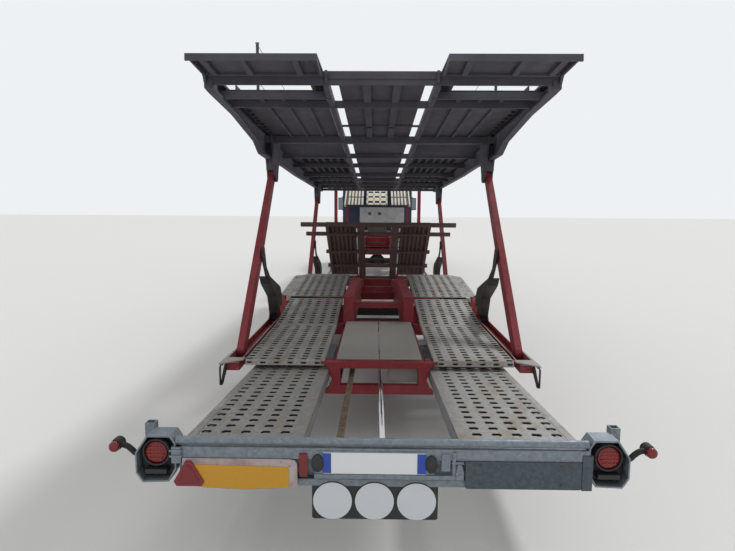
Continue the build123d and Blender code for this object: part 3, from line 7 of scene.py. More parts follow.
# %% Load the frame
import bpy
import bmesh
from math import cos, pi, radians, sin
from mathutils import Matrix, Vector


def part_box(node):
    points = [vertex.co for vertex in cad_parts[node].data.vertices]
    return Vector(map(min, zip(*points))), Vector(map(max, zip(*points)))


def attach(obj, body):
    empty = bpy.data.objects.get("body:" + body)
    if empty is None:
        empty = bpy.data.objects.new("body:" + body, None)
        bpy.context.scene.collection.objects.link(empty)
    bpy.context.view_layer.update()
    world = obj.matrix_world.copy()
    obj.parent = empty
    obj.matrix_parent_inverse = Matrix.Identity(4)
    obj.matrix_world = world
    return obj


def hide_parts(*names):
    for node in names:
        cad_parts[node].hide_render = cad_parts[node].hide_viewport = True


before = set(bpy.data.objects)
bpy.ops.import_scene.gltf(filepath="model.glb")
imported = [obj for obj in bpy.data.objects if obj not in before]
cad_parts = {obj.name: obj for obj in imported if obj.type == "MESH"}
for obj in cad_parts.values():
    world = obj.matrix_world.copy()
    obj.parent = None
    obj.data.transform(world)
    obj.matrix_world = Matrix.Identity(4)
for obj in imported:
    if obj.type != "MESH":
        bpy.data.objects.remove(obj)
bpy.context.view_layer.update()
SIDES = (("left", -1), ("right", 1))

# %% [markdown]
# ## Camera
# The photograph was taken standing behind the vehicle, 2.6 m from the bumper, at eye height, with a wide
# phone lens tipped a little down. Where the deck's long edges meet gives the direction, and the plate's known
# width gives the distance.

# %% Camera
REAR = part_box("speed_discs")[0][1] - 0.015
EYE_DISTANCE, EYE_HEIGHT, EYE_SHIFT = 2.627, 1.9, -0.035
TIPPED_DOWN, HEADING, ROLL = 6.9, 0.85, 0.35
camera_data = bpy.data.cameras.new("rear_view")
camera_data.sensor_width = 36.0
camera_data.lens = 27.04
camera_data.clip_end = 400.0
camera = bpy.data.objects.new("rear_view", camera_data)
camera.location = (EYE_SHIFT, REAR - EYE_DISTANCE, EYE_HEIGHT)
camera.rotation_euler = (radians(90 - TIPPED_DOWN), 0.0, radians(HEADING))
camera.rotation_euler.rotate_axis("Z", radians(ROLL))
bpy.context.scene.collection.objects.link(camera)
bpy.context.scene.camera = camera
print("camera at", [round(value, 3) for value in camera.location])

# %% [markdown]
# ## Helpers
# One function turns written colours to linear light, one adds a shader node with its settings and links, and
# a small class gathers flat-sided shapes into one mesh, so that each piece of the vehicle is a short list of
# bars, plates and rings.

# %% Colours and nodes
def linear(code):
    """An sRGB hex colour as linear light."""
    parts = [int(code[place:place + 2], 16) / 255 for place in (0, 2, 4)]
    return tuple(part / 12.92 if part <= 0.04045 else ((part + 0.055) / 1.055) ** 2.4
                 for part in parts) + (1.0,)


def add(material, kind, inputs=None, stops=(), **settings):
    """A shader node with its properties and ramp stops set and its inputs filled or linked."""
    tree = material.node_tree
    made = tree.nodes.new(kind)
    for name, value in settings.items():
        setattr(made, name, value)
    for socket, value in (inputs or {}).items():
        if isinstance(value, bpy.types.NodeSocket):
            tree.links.new(value, made.inputs[socket])
        else:
            made.inputs[socket].default_value = value
    for place, stop in enumerate(stops):
        made.color_ramp.elements[place].position = stop
    return made


def wire(shader, name, socket):
    """Links a socket to one of the shader's inputs."""
    shader.id_data.links.new(socket, shader.inputs[name])


def blank_material(name, code):
    """A new node material in one colour, and its shader with the output linked."""
    material = bpy.data.materials.new(name)
    material.use_nodes = True
    material.node_tree.nodes.clear()
    shader = add(material, "ShaderNodeBsdfPrincipled", {"Base Color": linear(code)})
    add(material, "ShaderNodeOutputMaterial", {"Surface": shader.outputs["BSDF"]})
    return material, shader


def placed(name, data):
    """A new object, linked to the scene."""
    made = bpy.data.objects.new(name, data)
    bpy.context.scene.collection.objects.link(made)
    return made

# %% [markdown]
# ## Shapes
# Pressed steel is flat sheet with folded edges. Bars, plates and rings could each be a modifier stack, but
# lofts between a few rings keep every corner where it was measured.

# %% Shapes
def around(x, y):
    """The four corners of a rectangle, in order."""
    return (x[0], y[0]), (x[1], y[0]), (x[1], y[1]), (x[0], y[1])


class Shape:
    """Gathers plates, bars and rings into one mesh."""

    def __init__(self):
        self.mesh = bmesh.new()

    def corners(self, points):
        return [self.mesh.verts.new(point) for point in points]

    def loft(self, rings):
        """Faces between rings with the same number of points, closed at both ends."""
        rows = [self.corners(ring) for ring in rings]
        count = len(rows[0])
        for low, high in zip(rows, rows[1:]):
            for place in range(count):
                after = (place + 1) % count
                self.mesh.faces.new((low[place], low[after], high[after], high[place]))
        self.mesh.faces.new(list(reversed(rows[0])))
        self.mesh.faces.new(rows[-1])

    def disc(self, x, z, stops, sides):
        """A round body that faces the rear, with a ring for each (radius, distance)."""
        self.loft([circle(x, distance, z, radius, radius, sides) for radius, distance in stops])

    def box(self, x, y, z):
        """A block between its limits along each axis."""
        self.loft([[(a, b, level) for a, b in around(x, y)] for level in z])

    def prism(self, axis, limits, points):
        """A profile carried along x or y: its points are in the other two axes, in order."""
        order = {"x": lambda value, p: (value, p[0], p[1]), "y": lambda value, p: (p[0], value, p[1])}[axis]
        self.loft([[order(value, point) for point in points] for value in limits])

    def tube(self, start, end, radius, sides=12, end_radius=None):
        """A round bar between two points."""
        start, end = Vector(start), Vector(end)
        along = (end - start).normalized()
        across = along.orthogonal().normalized()
        up = along.cross(across)
        rings = []
        for centre, size in ((start, radius), (end, radius if end_radius is None else end_radius)):
            rings.append([centre + size * (cos(2 * pi * k / sides) * across + sin(2 * pi * k / sides) * up)
                          for k in range(sides)])
        self.loft(rings)

    def done(self, name, body, material, bevel=0.0, smooth=False, slot=None, replaces=()):
        """Turns the shape into a named object that rides on a body."""
        bmesh.ops.recalc_face_normals(self.mesh, faces=self.mesh.faces)
        data = bpy.data.meshes.new(name)
        self.mesh.to_mesh(data)
        self.mesh.free()
        piece = placed(name, data)
        data.materials.append(material)
        if smooth:
            for face in data.polygons:
                face.use_smooth = True
        if bevel:
            edge = piece.modifiers.new("soft_edges", "BEVEL")
            edge.width = bevel
            edge.segments = 2
            edge.limit_method = "ANGLE"
            edge.angle_limit = radians(40)
        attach(piece, body)
        for node in replaces:
            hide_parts(node)
        print(name, len(data.polygons), "faces")
        return piece


def ahead(distance):
    """Y of a point that lies this far ahead of the slider's rear face."""
    return REAR + distance


def stretch(start, end):
    """Y limits between two stations."""
    return ahead(start), ahead(end)


def outward(side, inner, outer):
    """X limits on one side of the middle, in rising order."""
    return sorted((side * inner, side * outer))


def side_view(*points):
    """A profile seen from the side, from (distance, height) pairs."""
    return [(ahead(distance), height) for distance, height in points]


def circle(x, distance, z, wide, high, sides):
    """Points of a circle or oval that faces the rear."""
    return [(x + wide * cos(2 * pi * k / sides), ahead(distance), z + high * sin(2 * pi * k / sides))
            for k in range(sides)]


# Axle stations, and radii of the tyres and rims.
REAR_AXLE, FRONT_AXLE, DRIVE_AXLE, STEER_AXLE = 4.640, 5.480, 12.750, 16.430
TRAILER_AXLES = (("trailer_rear", REAR_AXLE), ("trailer_front", FRONT_AXLE))
TRAILER_TYRE, TRACTOR_TYRE = 0.3835, 0.463
TRAILER_RIM, TRACTOR_RIM = 0.222, 0.286
WHEEL_X = 1.050
# Where the upper deck's plane starts, and how much it falls in a metre.
UPPER_REAR, UPPER_HEIGHT, UPPER_FALL = 1.360, 2.805, 0.05766


def plank(shape, place, x, along, lift):
    """A straight block laid in a sloping plane that place() describes."""
    shape.loft([[place(a, b, level) for a, b in around(x, along)] for level in lift])

# %% [markdown]
# ## Finishes
# The vehicle has worked outdoors for years. Its enamel is chalked and scuffed to primer and rust, the
# galvanised plates carry the bluish crystal pattern of zinc under brown tyre dirt, and the plastics are dull.
# Every finish below starts from the clean material and then adds dirt by noise at a real size. Pictures could
# carry the wear, but noise needs no files and holds at any distance.

# %% Layers of a finish
def patches(material, place, low, high, **noise):
    """A noise pattern, and its mask that rises from 0 to 1 between two of its values."""
    pattern = add(material, "ShaderNodeTexNoise", {"Vector": place, **noise}).outputs["Fac"]
    return pattern, add(material, "ShaderNodeValToRGB", {"Fac": pattern}, stops=(low, high)).outputs["Color"]


def over(material, code, mask):
    """Another colour laid over a finish where the mask is 1."""
    shader = next(node for node in material.node_tree.nodes if node.type == "BSDF_PRINCIPLED")
    base = shader.inputs["Base Color"]
    below = base.links[0].from_socket if base.links else tuple(base.default_value)
    mixed = add(material, "ShaderNodeMix", {"Factor": mask, 6: below, 7: linear(code)}, data_type="RGBA")
    wire(shader, "Base Color", mixed.outputs[2])


def inside(material, *ranges):
    """1 where each coordinate lies between its two values."""
    mask = 1.0
    for socket, low, high in ranges:
        for limit, side in ((low, "GREATER_THAN"), (high, "LESS_THAN")):
            test = add(material, "ShaderNodeMath", {0: socket, 1: limit}, operation=side)
            mask = add(material, "ShaderNodeMath", {0: mask, 1: test.outputs["Value"]},
                       operation="MULTIPLY").outputs["Value"]
    return mask


# %% Weathered enamel
def enamel(name, clean, faded, grime, chip, chip_amount=0.62, rough=0.45):
    """Brushed or sprayed enamel on steel: a broken gloss, chalky high spots and small rusty chips."""
    material, shader = blank_material(name, clean)
    place = add(material, "ShaderNodeTexCoord").outputs["Object"]
    fade = patches(material, place, 0.42, 0.68, Scale=2.2, Detail=6.0, Roughness=0.6)
    soil = patches(material, place, 0.48, 0.78, Scale=7.0, Detail=8.0, Roughness=0.7, Distortion=0.6)
    chips = patches(material, place, chip_amount, chip_amount + 0.03, Scale=38.0, Detail=10.0, Roughness=0.75)
    for code, layer in ((faded, fade), (grime, soil), (chip, chips)):
        over(material, code, layer[1])
    gloss = add(material, "ShaderNodeMapRange",
                {"Value": soil[0], "To Min": rough - 0.12, "To Max": rough + 0.3})
    wire(shader, "Roughness", gloss.outputs["Result"])
    peel = add(material, "ShaderNodeTexNoise", {"Vector": place, "Scale": 900.0, "Detail": 2.0})
    height = add(material, "ShaderNodeMath", {0: peel.outputs["Fac"], 1: chips[1]}, operation="SUBTRACT")
    bump = add(material, "ShaderNodeBump",
               {"Height": height.outputs["Value"], "Strength": 0.25, "Distance": 0.0008})
    wire(shader, "Normal", bump.outputs["Normal"])
    return material


red_enamel = enamel("red_chassis_enamel", "861522", "8c2f37", "4a2226", "66443c")
rail_enamel = enamel("red_rail_enamel", "861522", "8c2f37", "4a2226", "8f7068", chip_amount=0.56)
black_enamel = enamel("black_stay_enamel", "1d1e21", "34353a", "4a4038", "5b4436", chip_amount=0.66)
stay_enamel = enamel("rusted_black_enamel", "1d1e21", "34353a", "4a4038", "6b2c26", chip_amount=0.58)
deck_enamel = enamel("deck_primer_steel", "43424c", "54525d", "4a4342", "64483c", chip_amount=0.65, rough=0.6)
platform_enamel = enamel("rusty_platform_steel", "4b3b39", "5f4b45", "57423a", "7a5140", chip_amount=0.58,
                         rough=0.6)
grey_enamel = enamel("grey_cab_enamel", "b4b8bd", "c3c6c9", "948f87", "857c74", chip_amount=0.74, rough=0.28)
navy_enamel = enamel("navy_panel_enamel", "1c2c48", "2b3c58", "39404c", "57524c", chip_amount=0.72, rough=0.35)
# The roof bars' pale cream is partly their paint and partly painted sunlight.
cream_bar_paint_and_painted_sunlight = enamel("cream_bar_enamel_with_painted_sunlight", "d8d1c1", "e2ddcf", "ada28e", "8a7a66", chip_amount=0.7, rough=0.4)

# Behind the deck the rails are black below the deck's level, their corner plates are bare zinc, and a thin
# band along their top edges is paler.
rail_place = add(rail_enamel, "ShaderNodeSeparateXYZ",
                 {"Vector": add(rail_enamel, "ShaderNodeTexCoord").outputs["Object"]})
along_rail, up_rail = rail_place.outputs["Y"], rail_place.outputs["Z"]
for code, y, z in (("1d1e21", (-20.0, ahead(1.742)), (0.0, 0.6695)),
                   ("96938d", (ahead(1.550), ahead(2.090)), (0.6695, 0.679)),
                   ("a08d8a", (ahead(1.742), 20.0), (0.646, 0.6515))):
    over(rail_enamel, code, inside(rail_enamel, (along_rail, *y), (up_rail, *z)))
print("enamels made")


# %% [markdown]
# ## Galvanised steel
# Zinc freezes in crystals, so fresh plates glitter in patches. A cell pattern gives the crystals, stretched
# noise lays tyre soil along the wheel paths, and the soil makes the metal duller where it lies.

# %% Galvanised steel
def galvanised(name, zinc, shade, soil, soil_amount):
    """Hot-dip galvanised steel: zinc crystals 15 mm across, tyre soil along the wheel paths, a little rust."""
    material, shader = blank_material(name, zinc)
    place = add(material, "ShaderNodeTexCoord").outputs["Object"]
    crystals = add(material, "ShaderNodeTexVoronoi", {"Vector": place, "Scale": 65.0, "Randomness": 1.0})
    tone = add(material, "ShaderNodeSeparateColor", {"Color": crystals.outputs["Color"]})
    over(material, shade, tone.outputs["Red"])
    drawn = add(material, "ShaderNodeMapping", {"Vector": place, "Scale": (1.0, 0.35, 1.0)}).outputs["Vector"]
    soiling, soiled = patches(material, drawn, 0.60 - soil_amount, 0.86 - soil_amount / 2, Scale=9.0,
                              Detail=9.0, Roughness=0.68)
    over(material, soil, soiled)
    over(material, "7a5236", patches(material, place, 0.66, 0.74, Scale=23.0, Detail=8.0, Roughness=0.7)[1])
    for socket, start, clean, dirty in (("Metallic", 0.4, 0.7, 0.25), ("Roughness", 0.35, 0.42, 0.75)):
        change = add(material, "ShaderNodeMapRange", {"Value": soiling, "From Min": start, "From Max": 0.7,
                                                      "To Min": clean, "To Max": dirty})
        wire(shader, socket, change.outputs["Result"])
    scuffs = add(material, "ShaderNodeTexNoise",
                 {"Vector": drawn, "Scale": 140.0, "Detail": 4.0, "Roughness": 0.7})
    bump = add(material, "ShaderNodeBump",
               {"Height": scuffs.outputs["Fac"], "Strength": 0.25, "Distance": 0.0012})
    wire(shader, "Normal", bump.outputs["Normal"])
    return material


zinc_track = galvanised("galvanised_track_plate", "a2a29f", "8c8e8d", "84745f", 0.15)
zinc_frame = galvanised("galvanised_frame_steel", "8b959d", "79838c", "73695c", 0.02)
dull_zinc = galvanised("weathered_board_steel", "58626a", "4c555c", "47423b", 0.06)
# Near black, for the slots' pressed rims and the sheet behind the deck lip: painted shade, where the pale floor
# would show through.
painted_slot_shade = enamel("black_painted_slot_shade", "1a1917", "24221f", "2c2722", "3a2c22", rough=0.85)
print("galvanised steels made")

# %% [markdown]
# ## Moulded and rolled materials
# Tyres, lamp rings, films and chrome each have one colour. They share one recipe with different grain, gloss
# and metal, because what tells them apart at this size is how they catch the light.

# %% Rubber, plastic and small metals
DUST_TONE = 0.32


def moulded(name, code, rough, spread=0.1, grain=1200.0, strength=0.12, metallic=0.0):
    """Moulded or rolled stuff with one colour, fine grain, and dust in patches 60 mm across."""
    material, shader = blank_material(name, code)
    place = add(material, "ShaderNodeTexCoord").outputs["Object"]
    dust = add(material, "ShaderNodeTexNoise",
               {"Vector": place, "Scale": 16.0, "Detail": 7.0, "Roughness": 0.7})
    paler = tuple(channel * (1 - spread) + DUST_TONE * spread for channel in linear(code)[:3]) + (1.0,)
    dusty = add(material, "ShaderNodeMix", {"Factor": dust.outputs["Fac"], 6: linear(code), 7: paler},
                data_type="RGBA")
    wire(shader, "Base Color", dusty.outputs[2])
    gloss = add(material, "ShaderNodeMapRange",
                {"Value": dust.outputs["Fac"], "To Min": rough - 0.08, "To Max": rough + 0.14})
    wire(shader, "Roughness", gloss.outputs["Result"])
    fine = add(material, "ShaderNodeTexNoise", {"Vector": place, "Scale": grain, "Detail": 2.0})
    bump = add(material, "ShaderNodeBump",
               {"Height": fine.outputs["Fac"], "Strength": strength, "Distance": 0.0006})
    wire(shader, "Normal", bump.outputs["Normal"])
    shader.inputs["Metallic"].default_value = metallic
    return material


tyre_rubber = moulded("tyre_rubber_compound", "1b1b1c", 0.78, 0.10, 700.0, 0.3)
arm_rubber = moulded("moulded_rubber", "0e0e10", 0.6, 0.04)
black_plastic = moulded("black_abs_plastic", "1c1d20", 0.45, 0.08)
bumper_plastic = moulded("grey_bumper_plastic", "3b3d41", 0.55, 0.14)
plate_white = moulded("white_plate_film", "e3e6e9", 0.35, 0.06)
plate_blue = moulded("blue_plate_film", "1d47a8", 0.35, 0.05)
disc_white = moulded("white_disc_film", "d3d8de", 0.4, 0.10)
wheel_silver = moulded("silver_wheel_enamel", "a9adb1", 0.38, 0.16, 500.0, 0.1, metallic=0.35)
chrome_rod = moulded("hard_chrome", "dfe2e4", 0.12, 0.02, 200.0, 0.02, metallic=1.0)
tank_alloy = moulded("rolled_aluminium", "b7babd", 0.34, 0.08, 90.0, 0.05, metallic=0.9)
cast_iron = moulded("cast_iron_grey", "4b4d50", 0.6, 0.12, 260.0, 0.5)
seat_cloth = moulded("woven_seat_cloth", "33363d", 0.85, 0.06, 520.0, 0.5)
mirror_silver = moulded("silvered_mirror_glass", "7d878e", 0.12, 0.04, 200.0, 0.02, metallic=1.0)
grit = moulded("gritted_platform_paint", "8c8984", 0.9, 0.16, 420.0, 0.6)
pale_frame_enamel = enamel("pale_board_enamel", "b7abab", "a3908f", "6f5a54", "5d3f34", chip_amount=0.6,
                           rough=0.5)
rusty_bar = enamel("rusty_guide_steel", "7d7466", "8f877a", "4f463c", "6b4c34", chip_amount=0.5, rough=0.6)
print("plastics, rubber and small metals made")


# %% [markdown]
# ## Film and lenses
# Reflective film and lamp covers send light back from rows of tiny prisms. Modelled prisms would be wasted at
# this distance, so a cell pattern bends the surface instead.

# %% Reflective film and lamp lenses
def prismatic(name, code, deep, cell, rough):
    """Reflective film or a moulded lens: clear plastic over rows of small prisms."""
    material, shader = blank_material(name, code)
    place = add(material, "ShaderNodeTexCoord").outputs["Object"]
    turned = add(material, "ShaderNodeMapping", {"Vector": place, "Rotation": (radians(90), 0.0, 0.0)})
    cells = add(material, "ShaderNodeTexVoronoi", {"Vector": turned.outputs["Vector"], "Scale": 1.0 / cell,
                                                   "Randomness": 0.15})
    over(material, deep, cells.outputs["Distance"])
    over(material, deep, patches(material, place, 0.60, 0.72, Scale=30.0, Detail=8.0, Roughness=0.7)[1])
    bump = add(material, "ShaderNodeBump",
               {"Height": cells.outputs["Distance"], "Strength": 0.5, "Distance": 0.001})
    wire(shader, "Normal", bump.outputs["Normal"])
    shader.inputs["Roughness"].default_value = rough
    shader.inputs["Coat Weight"].default_value = 0.25
    return material


yellow_film = prismatic("yellow_reflective_film", "dca312", "b9830c", 0.004, 0.35)
red_film = prismatic("red_reflective_film", "8e1026", "5f0a1a", 0.006, 0.3)
red_lens = prismatic("red_acrylic_lens", "8c0d16", "4a070e", 0.011, 0.12)
led_lens = prismatic("red_segment_lens", "b5301a", "6a150e", 0.011, 0.12)
amber_lens = prismatic("amber_acrylic_lens", "b4441a", "6b1a12", 0.011, 0.12)
clear_lens = prismatic("clear_polycarbonate_lens", "c9ced2", "8f969c", 0.012, 0.08)
print("reflectors and lenses made")

# %% [markdown]
# ## Glass
# Cab windows are laminated and tinted green. Partly clear alpha shows the seats behind them without the noise
# that bent light brings in a short render.

# %% Glass
cab_glass, glass_shader = blank_material("laminated_cab_glass", "53635f")
glass_place = add(cab_glass, "ShaderNodeTexCoord").outputs["Object"]
dust_film = add(cab_glass, "ShaderNodeTexNoise",
                {"Vector": glass_place, "Scale": 2.5, "Detail": 3.0, "Roughness": 0.5})
dust_cover = add(cab_glass, "ShaderNodeMapRange",
                 {"Value": dust_film.outputs["Fac"], "To Min": 0.38, "To Max": 0.50})
wire(glass_shader, "Alpha", dust_cover.outputs["Result"])
glass_shader.inputs["Roughness"].default_value = 0.04
glass_shader.inputs["IOR"].default_value = 1.52
print("glass made")

# %% [markdown]
# ## First finishes
# Every node of the frame gets the finish of its real counterpart, also where finer pieces replace it later.

# %% Assign first finishes to the frame's nodes
finish_of = {name: tyre_rubber if name.startswith("tyre") else wheel_silver
             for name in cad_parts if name.startswith(("tyre", "rim"))}
for material, names in (
    (red_enamel, "trailer_chassis tractor_chassis front_masts rear_posts front_posts"),
    (rail_enamel, "side_rails"), (stay_enamel, "rear_stays front_stays"), (grit, "centre_platform"),
    (black_enamel, "trailer_axles tractor_axles landing_legs fifth_wheel"),
    (black_enamel, "steering_knuckle_left steering_knuckle_right"),
    (zinc_track, "lower_tracks wheel_covers slider_tracks roof_platform"),
    (zinc_frame, "slider_frame warning_boards"), (platform_enamel, "tilt_platform"),
    (deck_enamel, "upper_deck_frame upper_deck_tracks upper_flap_left upper_flap_right front_upper_deck"),
    (navy_enamel, "cab_shell door_left door_right"), (seat_cloth, "cab_interior"),
    (cab_glass, "windscreen door_glass_left door_glass_right"), (bumper_plastic, "front_bumper"),
    (black_plastic, "headlamps"), (tank_alloy, "side_tanks"), (cast_iron, "engine_block"),
    (chrome_rod, "slider_rod"), (plate_white, "number_plate"), (red_lens, "rear_lamps"),
    (disc_white, "speed_discs"),
):
    finish_of.update(dict.fromkeys(names.split(), material))
for name, material in finish_of.items():
    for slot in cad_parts[name].material_slots:
        slot.material = material
print("finished", len(finish_of), "nodes")

# %% [markdown]
# ## Slotted track plates
# Wheels run on folded steel plates with rows of pressed slots, so that water and mud fall through. More than
# 1,600 small holes would burden the solids, so they're made here: each slot is one cell of a grid, eight
# points round the cell joined to eight round the hole. The hole's rim is pressed down, and its inner wall is
# painted near black as painted shade, so that the holes look dark over the pale floor.

# %% Slotted sheet
def slotted_sheet(name, body, material, across, along, slot, at, thickness=0.006):
    """A sheet with a slot in each cell; across and along are (start, end, first centre, pitch, count)."""
    def edges(start, end, first, pitch, count):
        return [start] + [first + pitch * (k + 0.5) for k in range(count - 1)] + [end]

    mesh = bmesh.new()
    half, deep = slot
    cut = half * 0.62
    across_edges, along_edges = edges(*across), edges(*along)
    for i in range(across[4]):
        s0, s1, cs = across_edges[i], across_edges[i + 1], across[2] + across[3] * i
        for j in range(along[4]):
            t0, t1, ct = along_edges[j], along_edges[j + 1], along[2] + along[3] * j
            outer = [(s0, t0), (cs, t0), (s1, t0), (s1, ct), (s1, t1), (cs, t1), (s0, t1), (s0, ct)]
            hole = [(-cut, -deep), (0, -deep), (cut, -deep), (half, 0), (cut, deep), (0, deep), (-cut, deep),
                    (-half, 0)]
            rings = [[at(s, t, 0.0) for s, t in outer],
                     [at(cs + 1.12 * s, ct + 1.14 * t, 0.0) for s, t in hole],
                     [at(cs + s, ct + t, -0.003) for s, t in hole],
                     [at(cs + 0.96 * s, ct + 0.94 * t, -0.015) for s, t in hole]]
            rows = [[mesh.verts.new(point) for point in ring] for ring in rings]
            for step, (low, high) in enumerate(zip(rows, rows[1:])):
                for k in range(8):
                    face = mesh.faces.new((low[k], low[(k + 1) % 8], high[(k + 1) % 8], high[k]))
                    # The rim's inner wall takes the second, near-black material: painted shade that makes the
                    # hole look dark.
                    face.material_index = 1 if step == 2 else 0
    bmesh.ops.remove_doubles(mesh, verts=mesh.verts, dist=0.0004)
    for face in mesh.faces:
        face.normal_update()
        if face.normal.z < 0:
            face.normal_flip()
    data = bpy.data.meshes.new(name)
    mesh.to_mesh(data)
    mesh.free()
    piece = placed(name, data)
    data.materials.append(material)
    data.materials.append(painted_slot_shade)
    solid = piece.modifiers.new("plate_thickness", "SOLIDIFY")
    solid.thickness = thickness
    solid.offset = -1.0
    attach(piece, body)
    print(name, across[4] * along[4], "slots")
    return piece

# %% [markdown]
# ## Lower tracks
# Each side has two bays, and the front one rises gently towards the wheel covers. The rear edge is bent down
# into a lip, the long edges are folded, and cross ribs stiffen the plates from below. Cutting each slot from
# a solid would be slow, so the sheets come from the grid above, and only edges and ribs are carried profiles.

# %% Lower deck plates
def deck_level(distance):
    """Height of the lower tracks at a station."""
    return 0.678 + max(0.0, distance - 3.140) * 0.100


track_pieces = []
for side_name, side in SIDES:
    on_deck = lambda s, t, drop, side=side: (side * s, ahead(t), deck_level(t) + drop)
    on_lip = lambda s, t, drop, side=side: (side * s, ahead(1.730 + 0.4545 * t) - drop, 0.634 + t)
    columns = (0.445, 1.090, 0.505, 0.1108, 6)
    for bay, along in (("rear", (1.750, 3.132, 1.776, 0.0835, 16)),
                       ("front", (3.148, 4.192, 3.205, 0.0840, 12))):
        track_pieces.append(slotted_sheet(
            f"deck_plate_{bay}_{side_name}", "semi_trailer", zinc_track, columns, along, (0.029, 0.022),
            on_deck))
    track_pieces.append(slotted_sheet(
        f"deck_lip_{side_name}", "semi_trailer", zinc_track, columns, (0.0, 0.044, 0.020, 0.044, 1),
        (0.026, 0.0085), on_lip))
    trim = Shape()
    for edge in (0.445, 1.084):
        trim.prism("x", outward(side, edge, edge + 0.006), side_view(
            (1.790, 0.648), (3.140, 0.633), (4.195, 0.739),
            (4.195, 0.780), (3.140, 0.674), (1.790, 0.674)))
    for station in (2.200, 2.670, 3.092, 3.156, 3.620, 3.800, 4.140):
        level = deck_level(station)
        trim.box(outward(side, 0.451, 1.084), stretch(station, station + 0.034), (level - 0.042, level - 0.007))
    # A near-black sheet behind the bent lip is painted shade: it darkens the lip's slots, where the pale floor
    # would show through.
    shade = Shape()
    shade.prism("x", outward(side, 0.452, 1.083), side_view(
        (1.762, 0.636), (1.765, 0.636), (1.781, 0.670), (1.778, 0.670)))
    track_pieces.append(shade.done(f"lip_painted_shade_{side_name}", "semi_trailer", painted_slot_shade, slot="galvanised"))
    track_pieces.append(trim.done(f"deck_ribs_{side_name}", "semi_trailer", zinc_track, 0.002,
                                  slot="galvanised"))

# %% [markdown]
# ## Neck tracks
# Ahead of the wheels the tracks drop into a short well, climb the gooseneck as a ramp and run level over the
# coupling. The load is lashed to their raised edges. One height function serves plates, edges and ribs, so
# that they stay together over both bends.

# %% Neck plates and edges
WELL_LEVEL, NECK_LEVEL = 0.580, 1.330
RAMP_START, RAMP_END, RAMP_RISE, RAMP_RUN = 8.880, 9.740, 0.750, 0.860


def neck_level(distance):
    """Height of the tracks from the well over the gooseneck."""
    if distance < RAMP_START:
        return WELL_LEVEL
    if distance < RAMP_END:
        return WELL_LEVEL + (distance - RAMP_START) * RAMP_RISE / RAMP_RUN
    return NECK_LEVEL


for side_name, side in SIDES:
    on_neck = lambda s, t, drop, side=side: (side * s, ahead(t), neck_level(t) + drop)
    for bay, along in (("well", (8.000, RAMP_START, 8.075, 0.1250, 7)),
                       ("ramp", (RAMP_START, RAMP_END, 8.940, 0.1230, 7)),
                       ("neck", (RAMP_END, 13.690, 9.820, 0.1350, 29))):
        track_pieces.append(slotted_sheet(
            f"neck_plate_{bay}_{side_name}", "semi_trailer", zinc_track, (0.420, 0.990, 0.486, 0.1095, 5),
            along, (0.038, 0.020), on_neck))
    trim = Shape()
    for edge in (0.410, 0.990):
        low, high = outward(side, edge, edge + 0.010)
        for start, end in ((8.000, RAMP_START), (RAMP_START, RAMP_END), (RAMP_END, 13.690)):
            trim.prism("x", (low, high), side_view(
                (start, neck_level(start) - 0.035), (end, neck_level(end) - 0.035),
                (end, neck_level(end) + 0.025), (start, neck_level(start) + 0.025)))
    for station in (8.020, 8.500, 9.900, 10.400, 11.200, 12.000, 12.800, 13.500):
        low, high = outward(side, 0.419, 0.991)
        level = neck_level(station)
        trim.box((low, high), stretch(station, station + 0.045), (level - 0.058, level - 0.007))
    track_pieces.append(trim.done(f"neck_edges_{side_name}", "semi_trailer", zinc_track, 0.002,
                                  slot="galvanised"))
for piece in track_pieces:
    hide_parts("lower_tracks")

# %% [markdown]
# ## Wheel covers
# Over the tandem wheels the tracks become a raised arch, and sheet wings outside them cover the tyres. The
# wings' rear edges are bent down, their corners are cut off, and a curved valance hangs behind the rear
# wheel. Profiles seen from the side give each bend where it was measured, which bending a flat sheet would
# not.

# %% Cover plates
COVER_CREST = 5.560


def cover_level(distance):
    """Height of the wheel covers' tracks."""
    if distance < COVER_CREST:
        return 0.800 + (distance - 4.250) * 0.097 / 1.310
    return 0.897 - (distance - COVER_CREST) * 0.012 / 0.370


def wing_level(distance):
    """Height of the sheet wings outside the covers."""
    if distance < COVER_CREST:
        return 0.803 + (distance - 4.350) * 0.082 / 1.210
    return 0.885 - (distance - COVER_CREST) * 0.012 / 0.370


